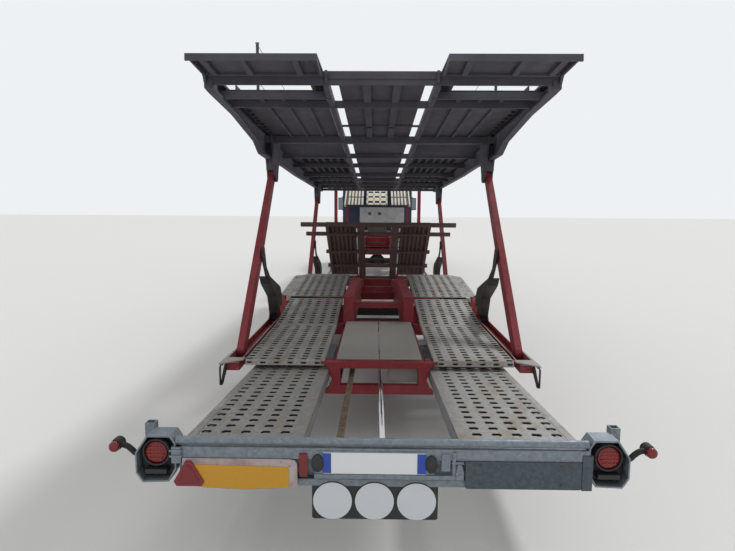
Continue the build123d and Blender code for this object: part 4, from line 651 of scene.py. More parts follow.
cover_pieces = []
for side_name, side in SIDES:
    on_cover = lambda s, t, drop, side=side: (side * s, ahead(t), cover_level(t) + drop)
    on_wing = lambda s, t, drop, side=side: (side * s, ahead(t), wing_level(t) + drop)
    cover_pieces.append(slotted_sheet(
        f"cover_plate_{side_name}", "semi_trailer", zinc_track, (0.445, 1.110, 0.505, 0.1060, 6),
        (4.252, 5.928, 4.315, 0.0865, 19), (0.029, 0.022), on_cover))
    cover_pieces.append(slotted_sheet(
        f"cover_strip_{side_name}", "semi_trailer", zinc_track, (1.112, 1.165, 1.1385, 0.05, 1),
        (4.350, 5.280, 4.445, 0.215, 4), (0.012, 0.012), on_wing, 0.008))
    wing = Shape()
    # The inner strip bends down at the rear and goes on past the crest to the front.
    low, high = outward(side, 1.112, 1.165)
    for outline in (((4.250, 0.740), (4.278, 0.787), (4.350, 0.803), (4.351, 0.795), (4.287, 0.779),
                     (4.258, 0.740)),
                    ((5.280, 0.866), (COVER_CREST, 0.885), (5.930, 0.873), (5.930, 0.865), (COVER_CREST, 0.877),
                     (5.280, 0.858))):
        wing.prism("x", (low, high), [(ahead(distance), height) for distance, height in outline])
    # The outer strips are shorter at both ends, which cuts the corners off.
    for inner, outer, start, end in ((1.165, 1.207, 4.310, 5.855), (1.207, 1.249, 4.370, 5.775)):
        stops = (start, COVER_CREST, end)
        wing.prism("x", outward(side, inner, outer),
                   [(ahead(stop), wing_level(stop)) for stop in stops]
                   + [(ahead(stop), wing_level(stop) - 0.008) for stop in reversed(stops)])
    wing.prism("x", outward(side, 1.241, 1.249), side_view(
        (4.378, 0.755), (COVER_CREST, 0.835), (5.772, 0.827),
        (5.772, 0.876), (COVER_CREST, 0.884), (4.378, 0.803)))
    # Lashing points: small square studs on the wing.
    for station in (4.620, 4.900, 5.180, 5.460):
        level = wing_level(station)
        wing.box(outward(side, 1.180, 1.212), stretch(station, station + 0.032), (level - 0.002, level + 0.008))
    # Welded seams across the plates.
    for station in (4.618, 5.050):
        low, high = outward(side, 0.450, 1.105)
        level = cover_level(station)
        wing.box((low, high), stretch(station, station + 0.008), (level - 0.004, level + 0.003))
    for station, top_height in ((5.000, 0.845), (5.880, 0.876)):
        wing.box(outward(side, 0.446, 0.505), stretch(station, station + 0.040), (0.700, top_height))
        wing.box(outward(side, 0.386, 0.447), stretch(station, station + 0.040), (0.700, 0.770))
    for edge in (0.445, 1.104):
        wing.prism("x", outward(side, edge, edge + 0.006), side_view(
            (4.252, 0.762), (COVER_CREST, 0.855), (5.926, 0.843),
            (5.926, 0.883), (COVER_CREST, 0.895), (4.252, 0.797)))
    cover_pieces.append(wing.done(f"cover_wing_{side_name}", "semi_trailer", zinc_track, 0.002,
                                  slot="galvanised"))
    # Valance behind the rear wheel: a strip of a ring round its axle.
    valance = Shape()
    rings = []
    for turn in range(9):
        angle = radians(121.5 + turn * 4.35)
        rings.append([(side * x, ahead(REAR_AXLE) + cos(angle) * radius, TRAILER_TYRE + sin(angle) * radius)
                      for x, radius in ((1.120, 0.4825), (1.246, 0.4825), (1.246, 0.4925), (1.120, 0.4925))])
    valance.loft(rings)
    cover_pieces.append(valance.done(f"cover_valance_{side_name}", "semi_trailer", red_enamel, 0.001,
                                     slot="red_paint"))
for piece in cover_pieces:
    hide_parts("wheel_covers")

# %% [markdown]
# ## Bumper, boards and plate
# The slider's bumper is a folded channel with two round bars. A yellow reflective board in a chipped pale
# frame hangs on its left half with a red warning triangle, a bare steel board on its right, and a number
# plate, which is blank here, stands between them with an oval lamp at each end. Each board is its own outline
# carried a few millimetres deep, since a picture of it would catch no light.

# %% Reflective board and triangle
board_part = {"slot": "board_paint", "replaces": ["warning_boards"]}
board = Shape()
board_outline = [(-0.998, 0.655), (-0.455, 0.655), (-0.430, 0.648), (-0.420, 0.630), (-0.418, 0.512),
                 (-0.445, 0.508),
                 (-0.470, 0.502), (-0.560, 0.498), (-0.700, 0.492), (-0.880, 0.500), (-0.965, 0.512),
                 (-0.998, 0.520)]
board.prism("y", stretch(-0.008, -0.002), board_outline)
board.done("board_frame", "rear_slider", pale_frame_enamel, 0.0015, **board_part)
film = Shape()
film.prism("y", stretch(-0.0105, -0.0075), [
    (-0.962, 0.624), (-0.462, 0.616), (-0.462, 0.512), (-0.560, 0.503), (-0.700, 0.497), (-0.880, 0.505),
    (-0.962, 0.518)])
film.done("board_film", "rear_slider", yellow_film, **board_part)


def triangle(shape, centre, size, y):
    """A flat warning triangle with cut tips, standing on one side."""
    points = []
    for corner in range(3):
        angle = radians(90 + corner * 120)
        for turn in (-0.17, 0.17):
            points.append((centre[0] + size * cos(angle + turn), centre[1] + size * sin(angle + turn)))
    shape.prism("y", y, points)


for name, size, depth, finish in (("triangle_rim", 0.082, (-0.018, -0.0107), red_film),
                                  ("triangle_core", 0.056, (-0.0205, -0.0182), red_lens)):
    piece = Shape()
    triangle(piece, (-0.964, 0.564), size, stretch(depth[0], depth[1]))
    piece.done(name, "rear_slider", finish, 0.002, slot="lamp_red", replaces=["warning_boards"])

steel = Shape()
steel.prism("y", stretch(-0.007, -0.001),
            [(0.424, 0.655), (0.994, 0.655), (0.998, 0.648), (0.998, 0.517), (0.990, 0.511), (0.428, 0.511),
             (0.420, 0.520), (0.420, 0.650)])
for x in (0.500, 0.900):
    for height in (0.632, 0.535):
        steel.tube((x, ahead(-0.011), height), (x, ahead(-0.005), height), 0.009, 6)
steel.box((1.000, 1.052), stretch(-0.006, 0.070), (0.507, 0.690))
steel.done("steel_board", "rear_slider", dull_zinc, 0.002, slot="galvanised", replaces=["warning_boards"])

# %% [markdown]
# ## Number plate
# The real plate is white film on a sheet with a blue band at each end. It stays blank, and only the bands'
# colour is kept. The faces of film, bands and carrier lie 1 to 3 mm apart, so that none of them flickers
# through another.

# %% Blank plate, its bands and the plate lamps
PLATE_MIDDLE, PLATE_FOOT = -0.035, 0.583
plate_part = {"slot": "plate_white", "replaces": ["number_plate"]}
plate = Shape()
corner = [(-0.255, 0.0), (-0.260, 0.006), (-0.260, 0.104), (-0.255, 0.110), (0.255, 0.110), (0.260, 0.104),
          (0.260, 0.006), (0.255, 0.0)]
plate.prism("y", stretch(-0.0065, -0.0045), [(PLATE_MIDDLE + x, PLATE_FOOT + z) for x, z in corner])
plate.done("plate_film", "rear_slider", plate_white, 0.0005, **plate_part)
for name, low, high in (("plate_band_left", -0.2945, -0.250), ("plate_band_right", 0.180, 0.2245)):
    band = Shape()
    band.prism("y", stretch(-0.0078, -0.0062), [(low, 0.586), (high, 0.586), (high, 0.690), (low, 0.690)])
    band.done(name, "rear_slider", plate_blue, **plate_part)
carrier = Shape()
carrier.box((-0.335, 0.265), stretch(-0.004, 0.008), (0.560, 0.700))
carrier.box((-0.335, 0.400), stretch(-0.010, -0.002), (0.556, 0.580))
carrier.done("plate_carrier", "rear_slider", zinc_frame, 0.002, slot="galvanised", replaces=["number_plate"])
for name, x in (("plate_lamp_left", -0.318), ("plate_lamp_right", 0.250)):
    lamp = Shape()
    lamp.loft([circle(x, y, 0.638, 0.030 * size, 0.046 * size, 28)
               for size, y in ((1.0, 0.002), (1.0, -0.014), (0.86, -0.022), (0.45, -0.026))])
    lamp.done(name, "rear_slider", black_plastic, smooth=True, **plate_part)

# %% [markdown]
# ## Small fittings
# A side marker, ramp latches and a hook sit along the bumper. They are plain blocks, since each is a few
# pixels wide.

# %% Small fittings of the bumper
fittings = Shape()
fittings.box((-0.409, -0.368), stretch(-0.012, 0.010), (0.566, 0.686))
fittings.done("side_marker_block", "rear_slider", red_lens, 0.003, slot="lamp_red")
latch = Shape()
latch.box((0.300, 0.345), stretch(-0.006, 0.012), (0.600, 0.690))
latch.box((0.352, 0.410), stretch(-0.012, 0.010), (0.640, 0.652))
latch.box((0.355, 0.372), stretch(-0.010, 0.010), (0.575, 0.700))
latch.prism("y", stretch(-0.018, -0.004),
            [(0.372, 0.560), (0.412, 0.560), (0.412, 0.600), (0.400, 0.640), (0.380, 0.640), (0.372, 0.600)])
latch.tube((0.392, ahead(-0.022), 0.583), (0.392, ahead(0.004), 0.583), 0.010, 12)
latch.box((-1.050, -1.002), stretch(-0.012, 0.020), (0.628, 0.712))
latch.box((-1.058, -0.996), stretch(-0.018, -0.010), (0.660, 0.672))
latch.box((-1.058, -0.996), stretch(-0.018, -0.010), (0.690, 0.700))
latch.done("ramp_latches", "rear_slider", zinc_frame, 0.002, slot="galvanised")

# %% [markdown]
# ## Speed discs
# Three round plates of white film in black rims hang below the bumper. They are blank here. Each is two short
# lofts: the film stands 1.5 mm proud of a rim that is a little wider.

# %% Speed discs
DISC_HEIGHT = 0.427
disc_part = {"slot": "disc_white", "replaces": ["speed_discs"]}
for place, x in enumerate((-0.245, -0.032, 0.181)):
    for name, radius, y0, y1, finish in (("film", 0.0985, 0.0135, 0.0155, disc_white),
                                         ("rim", 0.101, 0.0150, 0.0200, black_plastic)):
        disc = Shape()
        disc.disc(x, DISC_HEIGHT, ((radius, y0), (radius, y1)), 64)
        disc.done(f"speed_disc_{name}_{place}", "rear_slider", finish, **disc_part)
panel = Shape()
panel.prism("y", stretch(0.0201, 0.0255),
            [(-0.350, 0.335), (-0.340, 0.327), (0.280, 0.327), (0.290, 0.335), (0.290, 0.505), (-0.350, 0.505)])
panel.done("disc_panel", "rear_slider", black_plastic, 0.001, **disc_part)

# %% [markdown]
# ## Rear lamps
# Each lamp is a round unit of red acrylic with a grid of bars in a black ring, deep in a folded steel cowl
# that guards it. A small marker lamp rides outside on a curved rubber arm, so that it bends away when it
# touches something. The round parts are lofts between rings, and the arm is a bevelled curve, which bends
# without seams.

# %% Lamps, cowls' liners and marker arms
LAMP_X, LAMP_HEIGHT = 1.140, 0.668
MARKER_X, MARKER_HEIGHT = 1.358, 0.690
lamp_part = {"slot": "lamp_red", "replaces": ["rear_lamps"]}
for side_name, side in SIDES:
    centre_x, centre_z = side * LAMP_X, LAMP_HEIGHT
    ring = Shape()
    ring.disc(centre_x, centre_z,
              ((0.074, 0.098), (0.074, 0.030), (0.070, 0.022), (0.063, 0.022), (0.061, 0.030),
                                   (0.061, 0.060)), 40)
    ring.done(f"lamp_ring_{side_name}", "rear_slider", black_plastic, smooth=True, **lamp_part)
    lens = Shape()
    lens.disc(centre_x, centre_z,
              ((0.060, 0.060), (0.060, 0.032), (0.052, 0.024), (0.030, 0.020), (0.006, 0.019)), 40)
    lens.done(f"lamp_lens_{side_name}", "rear_slider", red_lens, smooth=True, **lamp_part)
    bars = Shape()
    for row in (-0.028, -0.009, 0.010, 0.029):
        reach = 0.044 if abs(row) < 0.02 else 0.034
        bars.box((centre_x - reach, centre_x + reach), stretch(0.0165, 0.024),
                 (centre_z + row - 0.0035, centre_z + row + 0.0035))
    for column in (-0.030, -0.010, 0.010, 0.030):
        bars.box((centre_x + column - 0.002, centre_x + column + 0.002), stretch(0.0165, 0.024),
                 (centre_z - 0.036, centre_z + 0.036))
    bars.done(f"lamp_grid_{side_name}", "rear_slider", led_lens, 0.001, **lamp_part)
    liner = Shape()
    liner.prism("y", stretch(0.060, 0.101), [(side * (1.133 + x), 0.645 + z) for x, z in (
        (-0.092, -0.045), (-0.057, -0.108), (0.065, -0.112), (0.093, -0.067),
        (0.093, 0.027), (0.038, 0.110), (-0.070, 0.110), (-0.092, 0.076))])
    liner.box(outward(side, 1.085, 1.195), stretch(0.010, 0.070), (0.560, 0.585))
    liner.done(f"lamp_backing_{side_name}", "rear_slider", black_plastic, 0.003, **lamp_part)

    arm = bpy.data.curves.new(f"marker_arm_{side_name}", "CURVE")
    arm.dimensions = "3D"
    arm.bevel_depth = 0.015
    arm.bevel_resolution = 5
    arm.use_fill_caps = True
    line = arm.splines.new("NURBS")
    route = ((1.237, 0.640), (1.262, 0.640), (1.286, 0.668), (1.318, 0.690), (1.352, 0.690))
    line.points.add(len(route) - 1)
    for point, (x, z) in zip(line.points, route):
        point.co = (side * x, ahead(0.068), z, 1.0)
    line.order_u = 3
    line.use_endpoint_u = True
    arm_piece = placed(f"marker_arm_{side_name}", arm)
    arm.materials.append(arm_rubber)
    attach(arm_piece, "rear_slider")
    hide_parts("rear_lamps")
    for name, radius, y0, y1, finish in (("socket", 0.030, 0.050, 0.106, arm_rubber),
                                         ("lens", 0.027, 0.022, 0.049, red_lens)):
        marker = Shape()
        marker.disc(side * MARKER_X, MARKER_HEIGHT, [(radius * share, y) for share, y in (
            (1.0, y1), (1.0, y0 + 0.010), (0.86, y0 + 0.003), (0.5, y0))], 28)
        marker.done(f"marker_{name}_{side_name}", "rear_slider", finish, smooth=True, **lamp_part)

# %% [markdown]
# ## Slider plates
# The pulled-out slider carries its own pair of slotted plates, which fall a little towards the front so that
# they slide in under the lower deck. Both edges are folded down and a thin strip runs along the outer one.
# They could be built level and turned, but a function of the sloping plane keeps every distance readable.

# %% Slider plates
SLIDER_HEIGHT = 0.705
slider_slope = radians(3.4)
for side_name, side in SIDES:
    def on_slider(x, along, lift, side=side):
        """A point of the slider's plane: along it from the rear face, and above it."""
        return (side * x, ahead(0.0) + along * cos(slider_slope) + lift * sin(slider_slope),
                SLIDER_HEIGHT - along * sin(slider_slope) + lift * cos(slider_slope))
    plates = slotted_sheet(f"slider_plate_{side_name}", "rear_slider", zinc_track,
                           (0.410, 1.030, 0.520, 0.1075, 5),
                           (0.060, 2.200, 0.150, 0.0990, 20), (0.029, 0.023), on_slider, 0.008)
    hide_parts("slider_tracks")
    edges = Shape()
    for edge in (0.410, 1.020):
        plank(edges, on_slider, (edge, edge + 0.010), (0.120, 2.200), (-0.060, -0.004))
    plank(edges, on_slider, (0.985, 1.030), (0.062, 2.198), (-0.002, 0.002))
    edges.done(f"slider_edges_{side_name}", "rear_slider", zinc_track, 0.001, slot="galvanised",
               replaces=["slider_tracks"])

# %% [markdown]
# ## Ram rod and guide bar
# In the slider's open middle run a hard-chromed rod and, on its left, a rusty guide bar with a row of teeth.
# The teeth are small lofts in a row, since a bump pattern would look flat from this low.

# %% Rod and toothed bar
ROD_FOOT, ROD_LENGTH, ROD_DROP = 0.101, 2.735, 0.075
GUIDE_X, TEETH, TOOTH_PITCH = -0.230, 96, 0.0284
rod_start = (ahead(ROD_FOOT), SLIDER_HEIGHT - ROD_FOOT * sin(slider_slope) / cos(slider_slope) - ROD_DROP)


def along_slider(x, distance, lift=0.0):
    """A point on the slider's ram line."""
    return (x, rod_start[0] + distance * cos(slider_slope), rod_start[1] - distance * sin(slider_slope) + lift)


rod = Shape()
rod.tube(along_slider(0.010, 0.0), along_slider(0.010, ROD_LENGTH), 0.0165, 28)
rod.done("chrome_rod", "rear_slider", chrome_rod, smooth=True, slot="chrome", replaces=["slider_rod"])
guide = Shape()
bar_section = ((-0.021, -0.010), (0.021, -0.010), (0.021, 0.004), (-0.021, 0.004))
tooth_section = ((-0.017, 0.003), (0.017, 0.003), (0.014, 0.010), (-0.014, 0.010))
guide.loft([[along_slider(GUIDE_X + x, distance, z) for x, z in bar_section] for distance in (0.0, ROD_LENGTH)])
for tooth in range(TEETH):
    start = 0.010 + tooth * TOOTH_PITCH
    guide.loft([[along_slider(GUIDE_X + x, distance, z) for x, z in tooth_section]
                for distance in (start, start + 0.015)])
guide.done("toothed_guide", "rear_slider", rusty_bar, slot="chrome", replaces=["slider_rod"])

# %% [markdown]
# ## Tyres and wheels
# A lorry tyre is a carcass of moulded rubber with ribs cut by grooves round it and by short sipes across it.
# Each tread is turned as one profile whose shoulder drops at regular steps, which gives blocks without loose
# pieces.

# %% Tyres
def tyre(axle, side_name, centres, station, radius, width, rim, node="tyre"):
    """One or two treaded tyres on the same axle line."""
    shape = Shape()
    half, wall = width / 2, radius - rim
    groove = 0.011
    profile = [(-half + 0.022, rim), (-half + 0.004, rim + 0.16 * wall), (-half, rim + 0.42 * wall),
               (-half + 0.001, rim + 0.62 * wall),
               (-half + 0.009, radius - 0.026), (-half + 0.030, radius - 0.006)]
    ribs = 5
    span = width - 0.072
    for rib in range(ribs):
        start = -half + 0.036 + rib * span / ribs
        profile += [(start + 0.004, radius), (start + span / ribs - 0.007, radius)]
        if rib < ribs - 1:
            profile += [(start + span / ribs - 0.004, radius - groove),
                        (start + span / ribs + 0.001, radius - groove)]
    profile += [(half - 0.030, radius - 0.006), (half - 0.009, radius - 0.026),
                (half - 0.001, rim + 0.62 * wall),
                (half, rim + 0.42 * wall), (half - 0.004, rim + 0.16 * wall), (half - 0.022, rim)]
    sides = 120
    for centre_x in centres:
        rows = []
        for k in range(sides):
            turn = 2 * pi * k / sides
            sipe = 0.007 if k % 3 == 0 else 0.0
            row = []
            for across, out in profile:
                if out > radius - 0.008 and abs(across) > half - 0.075:
                    out -= sipe
                row.append((centre_x + across, ahead(station) + out * cos(turn), radius + out * sin(turn)))
            rows.append(shape.corners(row))
        for k in range(sides):
            low, high = rows[k], rows[(k + 1) % sides]
            for place in range(len(profile)):
                after = (place + 1) % len(profile)
                shape.mesh.faces.new((low[place], low[after], high[after], high[place]))
    piece = shape.done(f"tread_{axle}_{side_name}", f"wheel_{axle}_{side_name}", tyre_rubber, smooth=True,
                       slot="tyre", replaces=[f"{node}_{axle}_{side_name}"])
    piece.data.set_sharp_from_angle(angle=radians(38))


for side_name, side in SIDES:
    for place, station in TRAILER_AXLES:
        tyre(place, side_name, [side * WHEEL_X], station, TRAILER_TYRE, 0.215, TRAILER_RIM)
    tyre("drive", side_name, [side * 0.745, side * 1.080], DRIVE_AXLE, TRACTOR_TYRE, 0.270, TRACTOR_RIM,
         "tyres")
    tyre("steer", side_name, [side * WHEEL_X], STEER_AXLE, TRACTOR_TYRE, 0.290, TRACTOR_RIM)

# %% [markdown]
# ## Wheel nuts
# Ten nuts on their studs hold each rim round a hub cap. They could be a repeated instance, but one mesh a
# wheel turns with its body as a single piece.

# %% Wheel nuts and hub caps
NUTS = 10
for side_name, side in SIDES:
    trailer_hubs = [(place, station, TRAILER_TYRE, 0.113, 1.098, 0.056) for place, station in TRAILER_AXLES]
    tractor_hubs = [("drive", DRIVE_AXLE, TRACTOR_TYRE, 0.140, 1.060, 0.095),
                    ("steer", STEER_AXLE, TRACTOR_TYRE, 0.140, 1.098, 0.080)]
    for place, station, radius, ring_radius, face, cap in trailer_hubs + tractor_hubs:
        hub = Shape()

        def turned(y, z, start, end, size, sides, end_size=None):
            """A round piece on the axle's line or beside it, between two distances from the wheel's face."""
            hub.tube((side * (face + start), y, z), (side * (face + end), y, z), size, sides, end_size)

        for nut in range(NUTS):
            angle = 2 * pi * nut / NUTS
            y, z = ahead(station) + ring_radius * cos(angle), radius + ring_radius * sin(angle)
            turned(y, z, -0.012, 0.022, 0.015, 6)
            turned(y, z, 0.020, 0.034, 0.009, 8)
        turned(ahead(station), radius, -0.03, 0.035, cap, 28)
        turned(ahead(station), radius, 0.034, 0.048, cap * 0.86, 28, cap * 0.7)
        hub.done(f"hub_{place}_{side_name}", f"wheel_{place}_{side_name}", wheel_silver, 0.001,
                 slot="wheel_steel")

# %% [markdown]
# ## Upper deck
# From behind, the upper deck is seen from below: folded track sheets with long ribs, a stretch of cross
# slats, then slotted plates, and between them one floor sheet over two channels, with an open strip on each
# side. One function lays all of it in the deck's sloping plane.

# %% Deck plane
deck_slope = radians(3.3)


def on_upper(x, along, lift):
    """A point of the upper deck: along its plane from the rear bar, and above it."""
    return (x, ahead(UPPER_REAR) + along * cos(deck_slope) + lift * sin(deck_slope),
            UPPER_HEIGHT - along * sin(deck_slope) + lift * cos(deck_slope))


# %% Upper tracks and floor
upper_pieces = []
for side_name, side in SIDES:
    place = lambda x, along, lift, side=side: on_upper(side * x, along, lift)
    sheets = Shape()
    # A plain folded sheet at the rear, with three long ribs below.
    plank(sheets, place, (0.440, 1.110), (0.300, 2.160), (-0.010, -0.002))
    for x in (0.590, 0.760, 0.930):
        for start, end in ((0.320, 0.560), (0.600, 2.045)):
            plank(sheets, place, (x, x + 0.030), (start, end), (-0.030, -0.0095))
    # Cross slats.
    for slat in range(12):
        start = 2.175 + slat * 0.0905
        plank(sheets, place, (0.440, 1.180), (start, start + 0.052), (-0.016, -0.002))
        plank(sheets, place, (0.440, 1.180), (start + 0.001, start + 0.007), (-0.034, -0.0155))
    # Toe edges that stop the wheels.
    for x in (0.440, 1.093):
        plank(sheets, place, (x, x + 0.012), (0.300, 8.040), (-0.002, 0.030))
    upper_pieces.append(sheets.done(f"upper_sheets_{side_name}", "upper_deck", deck_enamel, 0.0015,
                                    slot="deck_steel"))
    on_side = lambda x, along, drop, side=side: on_upper(side * x, along, drop - 0.002)
    for name, across, along, slot in (
        ("edge", (1.110, 1.183, 1.146, 0.06, 1), (0.300, 2.160, 0.680, 0.135, 11), (0.013, 0.013)),
        ("plates", (0.452, 1.183, 0.520, 0.1010, 6), (3.320, 8.035, 3.390, 0.1390, 34), (0.034, 0.022)),
        ("strip", (0.400, 0.520, 0.460, 0.1, 1), (0.036, 0.293, 0.062, 0.0515, 5), (0.028, 0.007)),
    ):
        upper_pieces.append(slotted_sheet(f"upper_{name}_{side_name}", "upper_deck", deck_enamel, across, along,
                                          slot, on_side))
floor_sheets = Shape()
plank(floor_sheets, on_upper, (-0.312, 0.312), (0.060, 8.020), (-0.013, -0.007))
for centre in (-0.110, 0.110):
    # Two channels of folded sheet hang under the floor, with their webs down.
    for start, end in ((0.062, 0.560), (0.600, 1.480), (1.530, 2.060)):
        plank(floor_sheets, on_upper, (centre - 0.029, centre + 0.029), (start, end), (-0.038, -0.034))
        for edge in (centre - 0.029, centre + 0.026):
            plank(floor_sheets, on_upper, (edge, edge + 0.003), (start, end), (-0.0345, -0.0125))
upper_pieces.append(floor_sheets.done("upper_floor", "upper_deck", deck_enamel, 0.0015, slot="deck_steel"))
for piece in upper_pieces:
    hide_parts("upper_deck_tracks")

# %% [markdown]
# ## Guard wires
# Two wires between poles keep people from stepping off the deck. Taut wire hangs straight at this length, so
# each is a straight rod that rides on the deck.

# %% Guard wires, pole feet and caps
guard = Shape()
for side, stations in ((-1, (3.060, 6.300, 9.000)), (1, (3.450, 6.300, 9.000))):
    x = side * 1.225
    bases = [UPPER_HEIGHT - (station - UPPER_REAR) * UPPER_FALL for station in stations]
    for station, base in zip(stations, bases):
        guard.tube((x, ahead(station), base + 0.018), (x, ahead(station), base + 0.085), 0.022, 16)
        guard.tube((x, ahead(station), base + 0.806), (x, ahead(station), base + 0.820), 0.019, 12)
    for start, end, low, high in zip(stations, stations[1:], bases, bases[1:]):
        for height in (0.45, 0.80):
            guard.tube((x, ahead(start), low + height), (x, ahead(end), high + height), 0.003, 6)
guard.done("guard_wires", "upper_deck", zinc_frame, slot="deck_steel")

# %% [markdown]
# ## Rear flaps
# Two short flaps lead the load on to the upper deck. Ribs stiffen them below and raised strips give grip
# above.

# %% Flap ribs and grip strips
flap_slope = radians(5.0)
FLAP_HINGE, FLAP_HEIGHT = 1.338, 2.827
for side_name, side in SIDES:
    def on_flap(x, along, lift, side=side):
        """A point of a rear flap: x outwards, along it from the hinge towards the rear, and above it."""
        return (side * x, ahead(FLAP_HINGE) - along * cos(flap_slope) + lift * sin(flap_slope),
                FLAP_HEIGHT + along * sin(flap_slope) + lift * cos(flap_slope))
    ribs = Shape()
    for x in (0.540, 0.880, 1.130):
        plank(ribs, on_flap, (x, x + 0.040), (0.050, 0.340), (-0.030, -0.0055))
    plank(ribs, on_flap, (0.450, 1.200), (0.020, 0.045), (-0.024, -0.0055))
    for row in range(3):
        for x in (0.560, 0.660, 0.760, 0.860, 0.960, 1.060, 1.160):
            plank(ribs, on_flap, (x, x + 0.050), (0.075 + row * 0.095, 0.087 + row * 0.095), (0.0055, 0.011))
    ribs.done(f"flap_ribs_{side_name}", f"upper_flap_{side_name}", deck_enamel, 0.0015, slot="deck_steel")

# %% [markdown]
# ## Tilting platform
# Raised on its front hinge, the platform shows its underside to the rear: ribbed panels between dark bars.
# The ribs are planks in the platform's own plane, so they fit its hinge.

# %% Tilting platform ribs
tilt_slope = radians(35.1)
TILT_HINGE, TILT_HEIGHT = 7.850, 0.600


def on_tilt(x, along, lift):
    """A point of the tilting platform, along it from the hinge towards its raised rear edge."""
    return (x, ahead(TILT_HINGE) - along * cos(tilt_slope) + lift * sin(tilt_slope),
            TILT_HEIGHT + along * sin(tilt_slope) + lift * cos(tilt_slope))


tilt_ribs = Shape()
for side in (-1, 1):
    for rib in range(6):
        x = side * (0.375 + rib * 0.070)
        plank(tilt_ribs, on_tilt, sorted((x, x + side * 0.030)), (0.220, 1.780), (-0.034, -0.0115))
    for row in range(12):
        plank(tilt_ribs, on_tilt, outward(side, 0.368, 0.832),
              (0.260 + row * 0.130, 0.276 + row * 0.130), (-0.0005, 0.010))
tilt_ribs.done("tilt_ribs", "tilt_platform", platform_enamel, 0.0015, slot="deck_steel")

# %% [markdown]
# ## Roof platform
# Over the cab the load rests on pale cream bars, partly their paint and partly painted sunlight, with painted
# shade in the gaps between them, and on a framed grid in the middle.
# Each bar is cut where the roof's height line bends, which is simpler than bending it.

# %% Roof bars and grid
roof_line = ((14.700, 2.035), (15.980, 2.690), (17.600, 2.790))


def roof_level(distance):
    """Height of the roof platform."""
    for (start, low), (end, high) in zip(roof_line, roof_line[1:]):
        if distance <= end:
            return low + (distance - start) * (high - low) / (end - start)
    return roof_line[-1][1]


def roof_bar(shape, x, start, end, depth=0.020, drop=0.0):
    """A bar that follows the roof platform between two stations."""
    stops = [start] + [distance for distance, height in roof_line if start < distance < end] + [end]
    for first, last in zip(stops, stops[1:]):
        shape.prism("x", x, side_view(
            (first, roof_level(first) - drop), (last, roof_level(last) - drop),
            (last, roof_level(last) - drop - depth), (first, roof_level(first) - drop - depth)))


roof = Shape()
for side in (-1, 1):
    for bar in range(5):
        x = outward(side, 0.440 + bar * 0.103, 0.496 + bar * 0.103)
        for start, end in ((14.700, 15.120), (15.200, 15.960), (15.990, 16.760), (16.830, 17.600)):
            roof_bar(roof, x, start, end)
    roof_bar(roof, outward(side, 0.985, 1.028), 14.700, 17.600, 0.075)
for x in (-0.342, -0.138, 0.062, 0.264):
    roof_bar(roof, (x, x + 0.055), 14.700, 15.960)
for start, length in ((14.700, 0.090), (14.930, 0.190), (15.240, 0.180), (15.540, 0.180), (15.860, 0.100)):
    roof_bar(roof, (-0.342, 0.319), start, start + length, 0.018)
roof.done("roof_bars", "tractor", cream_bar_paint_and_painted_sunlight, 0.002, slot="galvanised", replaces=["roof_platform"])
carriers = Shape()
for start in (14.730, 15.300, 15.940, 16.700, 17.530):
    level = roof_level(start)
    carriers.box((-1.000, 1.000), stretch(start, start + 0.055), (level - 0.070, level - 0.031))
for side in (-1, 1):
    # The dark sheets under the bars are painted shade: they darken the gaps between the bars from below.
    roof_bar(carriers, outward(side, 0.436, 1.000), 14.710, 17.590, 0.006, 0.024)
    carriers.prism("x", outward(side, 0.925, 1.000),
                   side_view((15.185, 2.121), (15.275, 2.121), (15.275, 2.310), (15.185, 2.265)))
carriers.done("roof_carriers_and_painted_shade", "tractor", black_enamel, 0.002, slot="dark_steel", replaces=["roof_platform"])

# %% [markdown]
# ## Cab
# A plain day cab: its shell is navy behind and at the sides, with a light grey panel across the lower rear
# wall that holds two small dark ventilators. Handles, wipers and mirror shells are separate mouldings. They
# are boxes and carried profiles, since they are small and mostly hidden from behind.

# %% Cab fittings
cab_details = Shape()
cab_details.box((-0.580, 0.900), stretch(15.970, 15.979), (1.300, 1.945))
cab_details.done("rear_wall_panel", "tractor", grey_enamel, 0.002, slot="cab_paint")
dark = Shape()
for x in (-0.308, 0.025):
    for rib in range(4):
        dark.box((x, x + 0.110), stretch(15.962, 15.9715), (1.690 + rib * 0.026, 1.708 + rib * 0.026))
for side in (-1, 1):
    # A wiper and a mirror shell on each side.
    dark.tube((side * 0.20, ahead(17.780), 1.690), (side * 0.62, ahead(17.745), 1.790), 0.008, 8)
    dark.prism("y", stretch(17.436, 17.524), [(side * x, z) for x, z in (
        (1.207, 1.880), (1.225, 1.858), (1.380, 1.858), (1.4005, 1.880),
        (1.4005, 2.270), (1.380, 2.292), (1.225, 2.292), (1.207, 2.270))])
dark.done("cab_dark_fittings", "tractor", black_plastic, 0.003, slot="cab_trim")
for side_name, side in SIDES:
    # The handle swings with its door.
    handle = Shape()
    handle.box(outward(side, 1.150, 1.166), stretch(16.320, 16.460), (1.555, 1.585))
    handle.box(outward(side, 1.150, 1.162), stretch(16.300, 16.480), (1.520, 1.548))
    handle.done(f"door_handle_{side_name}", f"door_{side_name}", black_plastic, 0.003, slot="cab_trim")
glasses = Shape()
for side in (-1, 1):
    glasses.prism("y", stretch(17.431, 17.437), [(side * x, z) for x, z in (
        (1.228, 1.895), (1.240, 1.880), (1.368, 1.880), (1.382, 1.895),
        (1.382, 2.255), (1.368, 2.270), (1.240, 2.270), (1.228, 2.255))])
glasses.done("mirror_glass", "tractor", mirror_silver, 0.001, slot="chrome")
grille = Shape()
grille.box((-0.719, 0.719), stretch(17.756, 17.7585), (1.091, 1.559))
for row in range(30):
    grille.box((-0.719, 0.719), stretch(17.7585, 17.764), (1.096 + row * 0.0155, 1.101 + row * 0.0155))
grille.done("grille_mesh", "tractor", black_plastic, slot="cab_trim")
headlamp_parts = Shape()
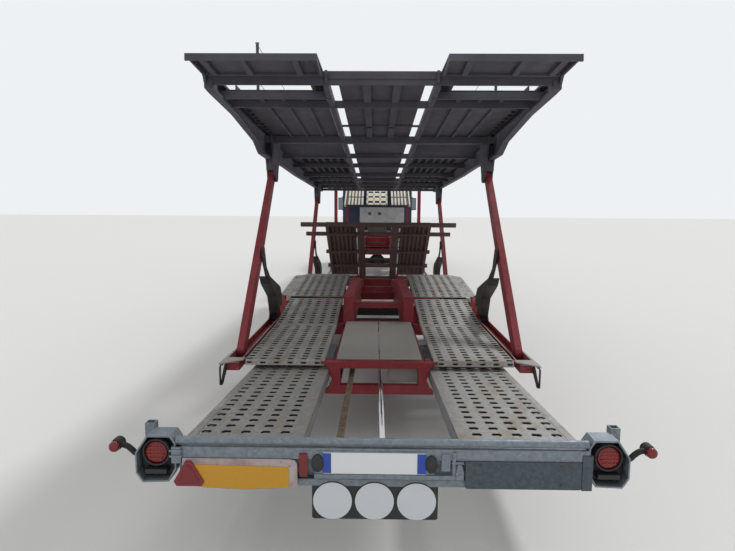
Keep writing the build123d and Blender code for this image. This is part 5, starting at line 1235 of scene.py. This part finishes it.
for side in (-1, 1):
    for x in (0.775, 0.925):
        headlamp_parts.disc(side * x, 0.690,
                            ((0.062, 17.780), (0.062, 17.792), (0.050, 17.7985), (0.012, 17.7995)), 28)
headlamp_parts.done("headlamp_lenses", "tractor", clear_lens, smooth=True, slot="headlamp")
amber = Shape()
for side in (-1, 1):
    amber.box(outward(side, 1.030, 1.110), stretch(17.716, 17.740), (0.640, 0.740))
    amber.tube((side * 0.90, ahead(17.560), 2.600), (side * 0.90, ahead(17.560), 2.640), 0.035, 16)
amber.done("indicator_lenses", "tractor", amber_lens, 0.003, slot="headlamp")

# %% [markdown]
# ## Studio
# A pale floor, a pale sky all round for soft light, and one broad sun from the front right, which is where
# the real sun stood: the vehicle's rear is in shade and its decks catch the light.

# %% Floor, world and sun
floor_mesh = bpy.data.meshes.new("studio_floor")
floor_mesh.from_pydata([(-90, -60, 0), (90, -60, 0), (90, 120, 0), (-90, 120, 0)], [], [(0, 1, 2, 3)])
floor = placed("studio_floor", floor_mesh)
floor_paint, floor_shader = blank_material("studio_floor_paint", "dcdcda")
floor_shader.inputs["Roughness"].default_value = 0.9
floor_mesh.materials.append(floor_paint)

world = bpy.data.worlds.new("studio")
bpy.context.scene.world = world
world.use_nodes = True
world.node_tree.nodes.clear()
paths = add(world, "ShaderNodeLightPath")
seen = add(world, "ShaderNodeMath",
           {0: paths.outputs["Is Camera Ray"], 1: paths.outputs["Is Transmission Ray"]}, operation="MAXIMUM")
sky = add(world, "ShaderNodeBackground", {"Color": (1.0, 1.0, 1.0, 1.0), "Strength": 0.72})
backdrop = add(world, "ShaderNodeBackground", {"Color": linear("eef1f4"), "Strength": 1.0})
blend = add(world, "ShaderNodeMixShader",
            {"Fac": seen.outputs["Value"], 1: sky.outputs["Background"], 2: backdrop.outputs["Background"]})
add(world, "ShaderNodeOutputWorld", {"Surface": blend.outputs["Shader"]})

sun_data = bpy.data.lights.new("soft_sun", "SUN")
sun_data.energy = 1.3
sun_data.angle = radians(9)
sun = placed("soft_sun", sun_data)
sun.rotation_euler = (radians(-32), radians(24), 0.0)
bpy.context.scene.view_settings.view_transform = "Standard"
print("studio ready")
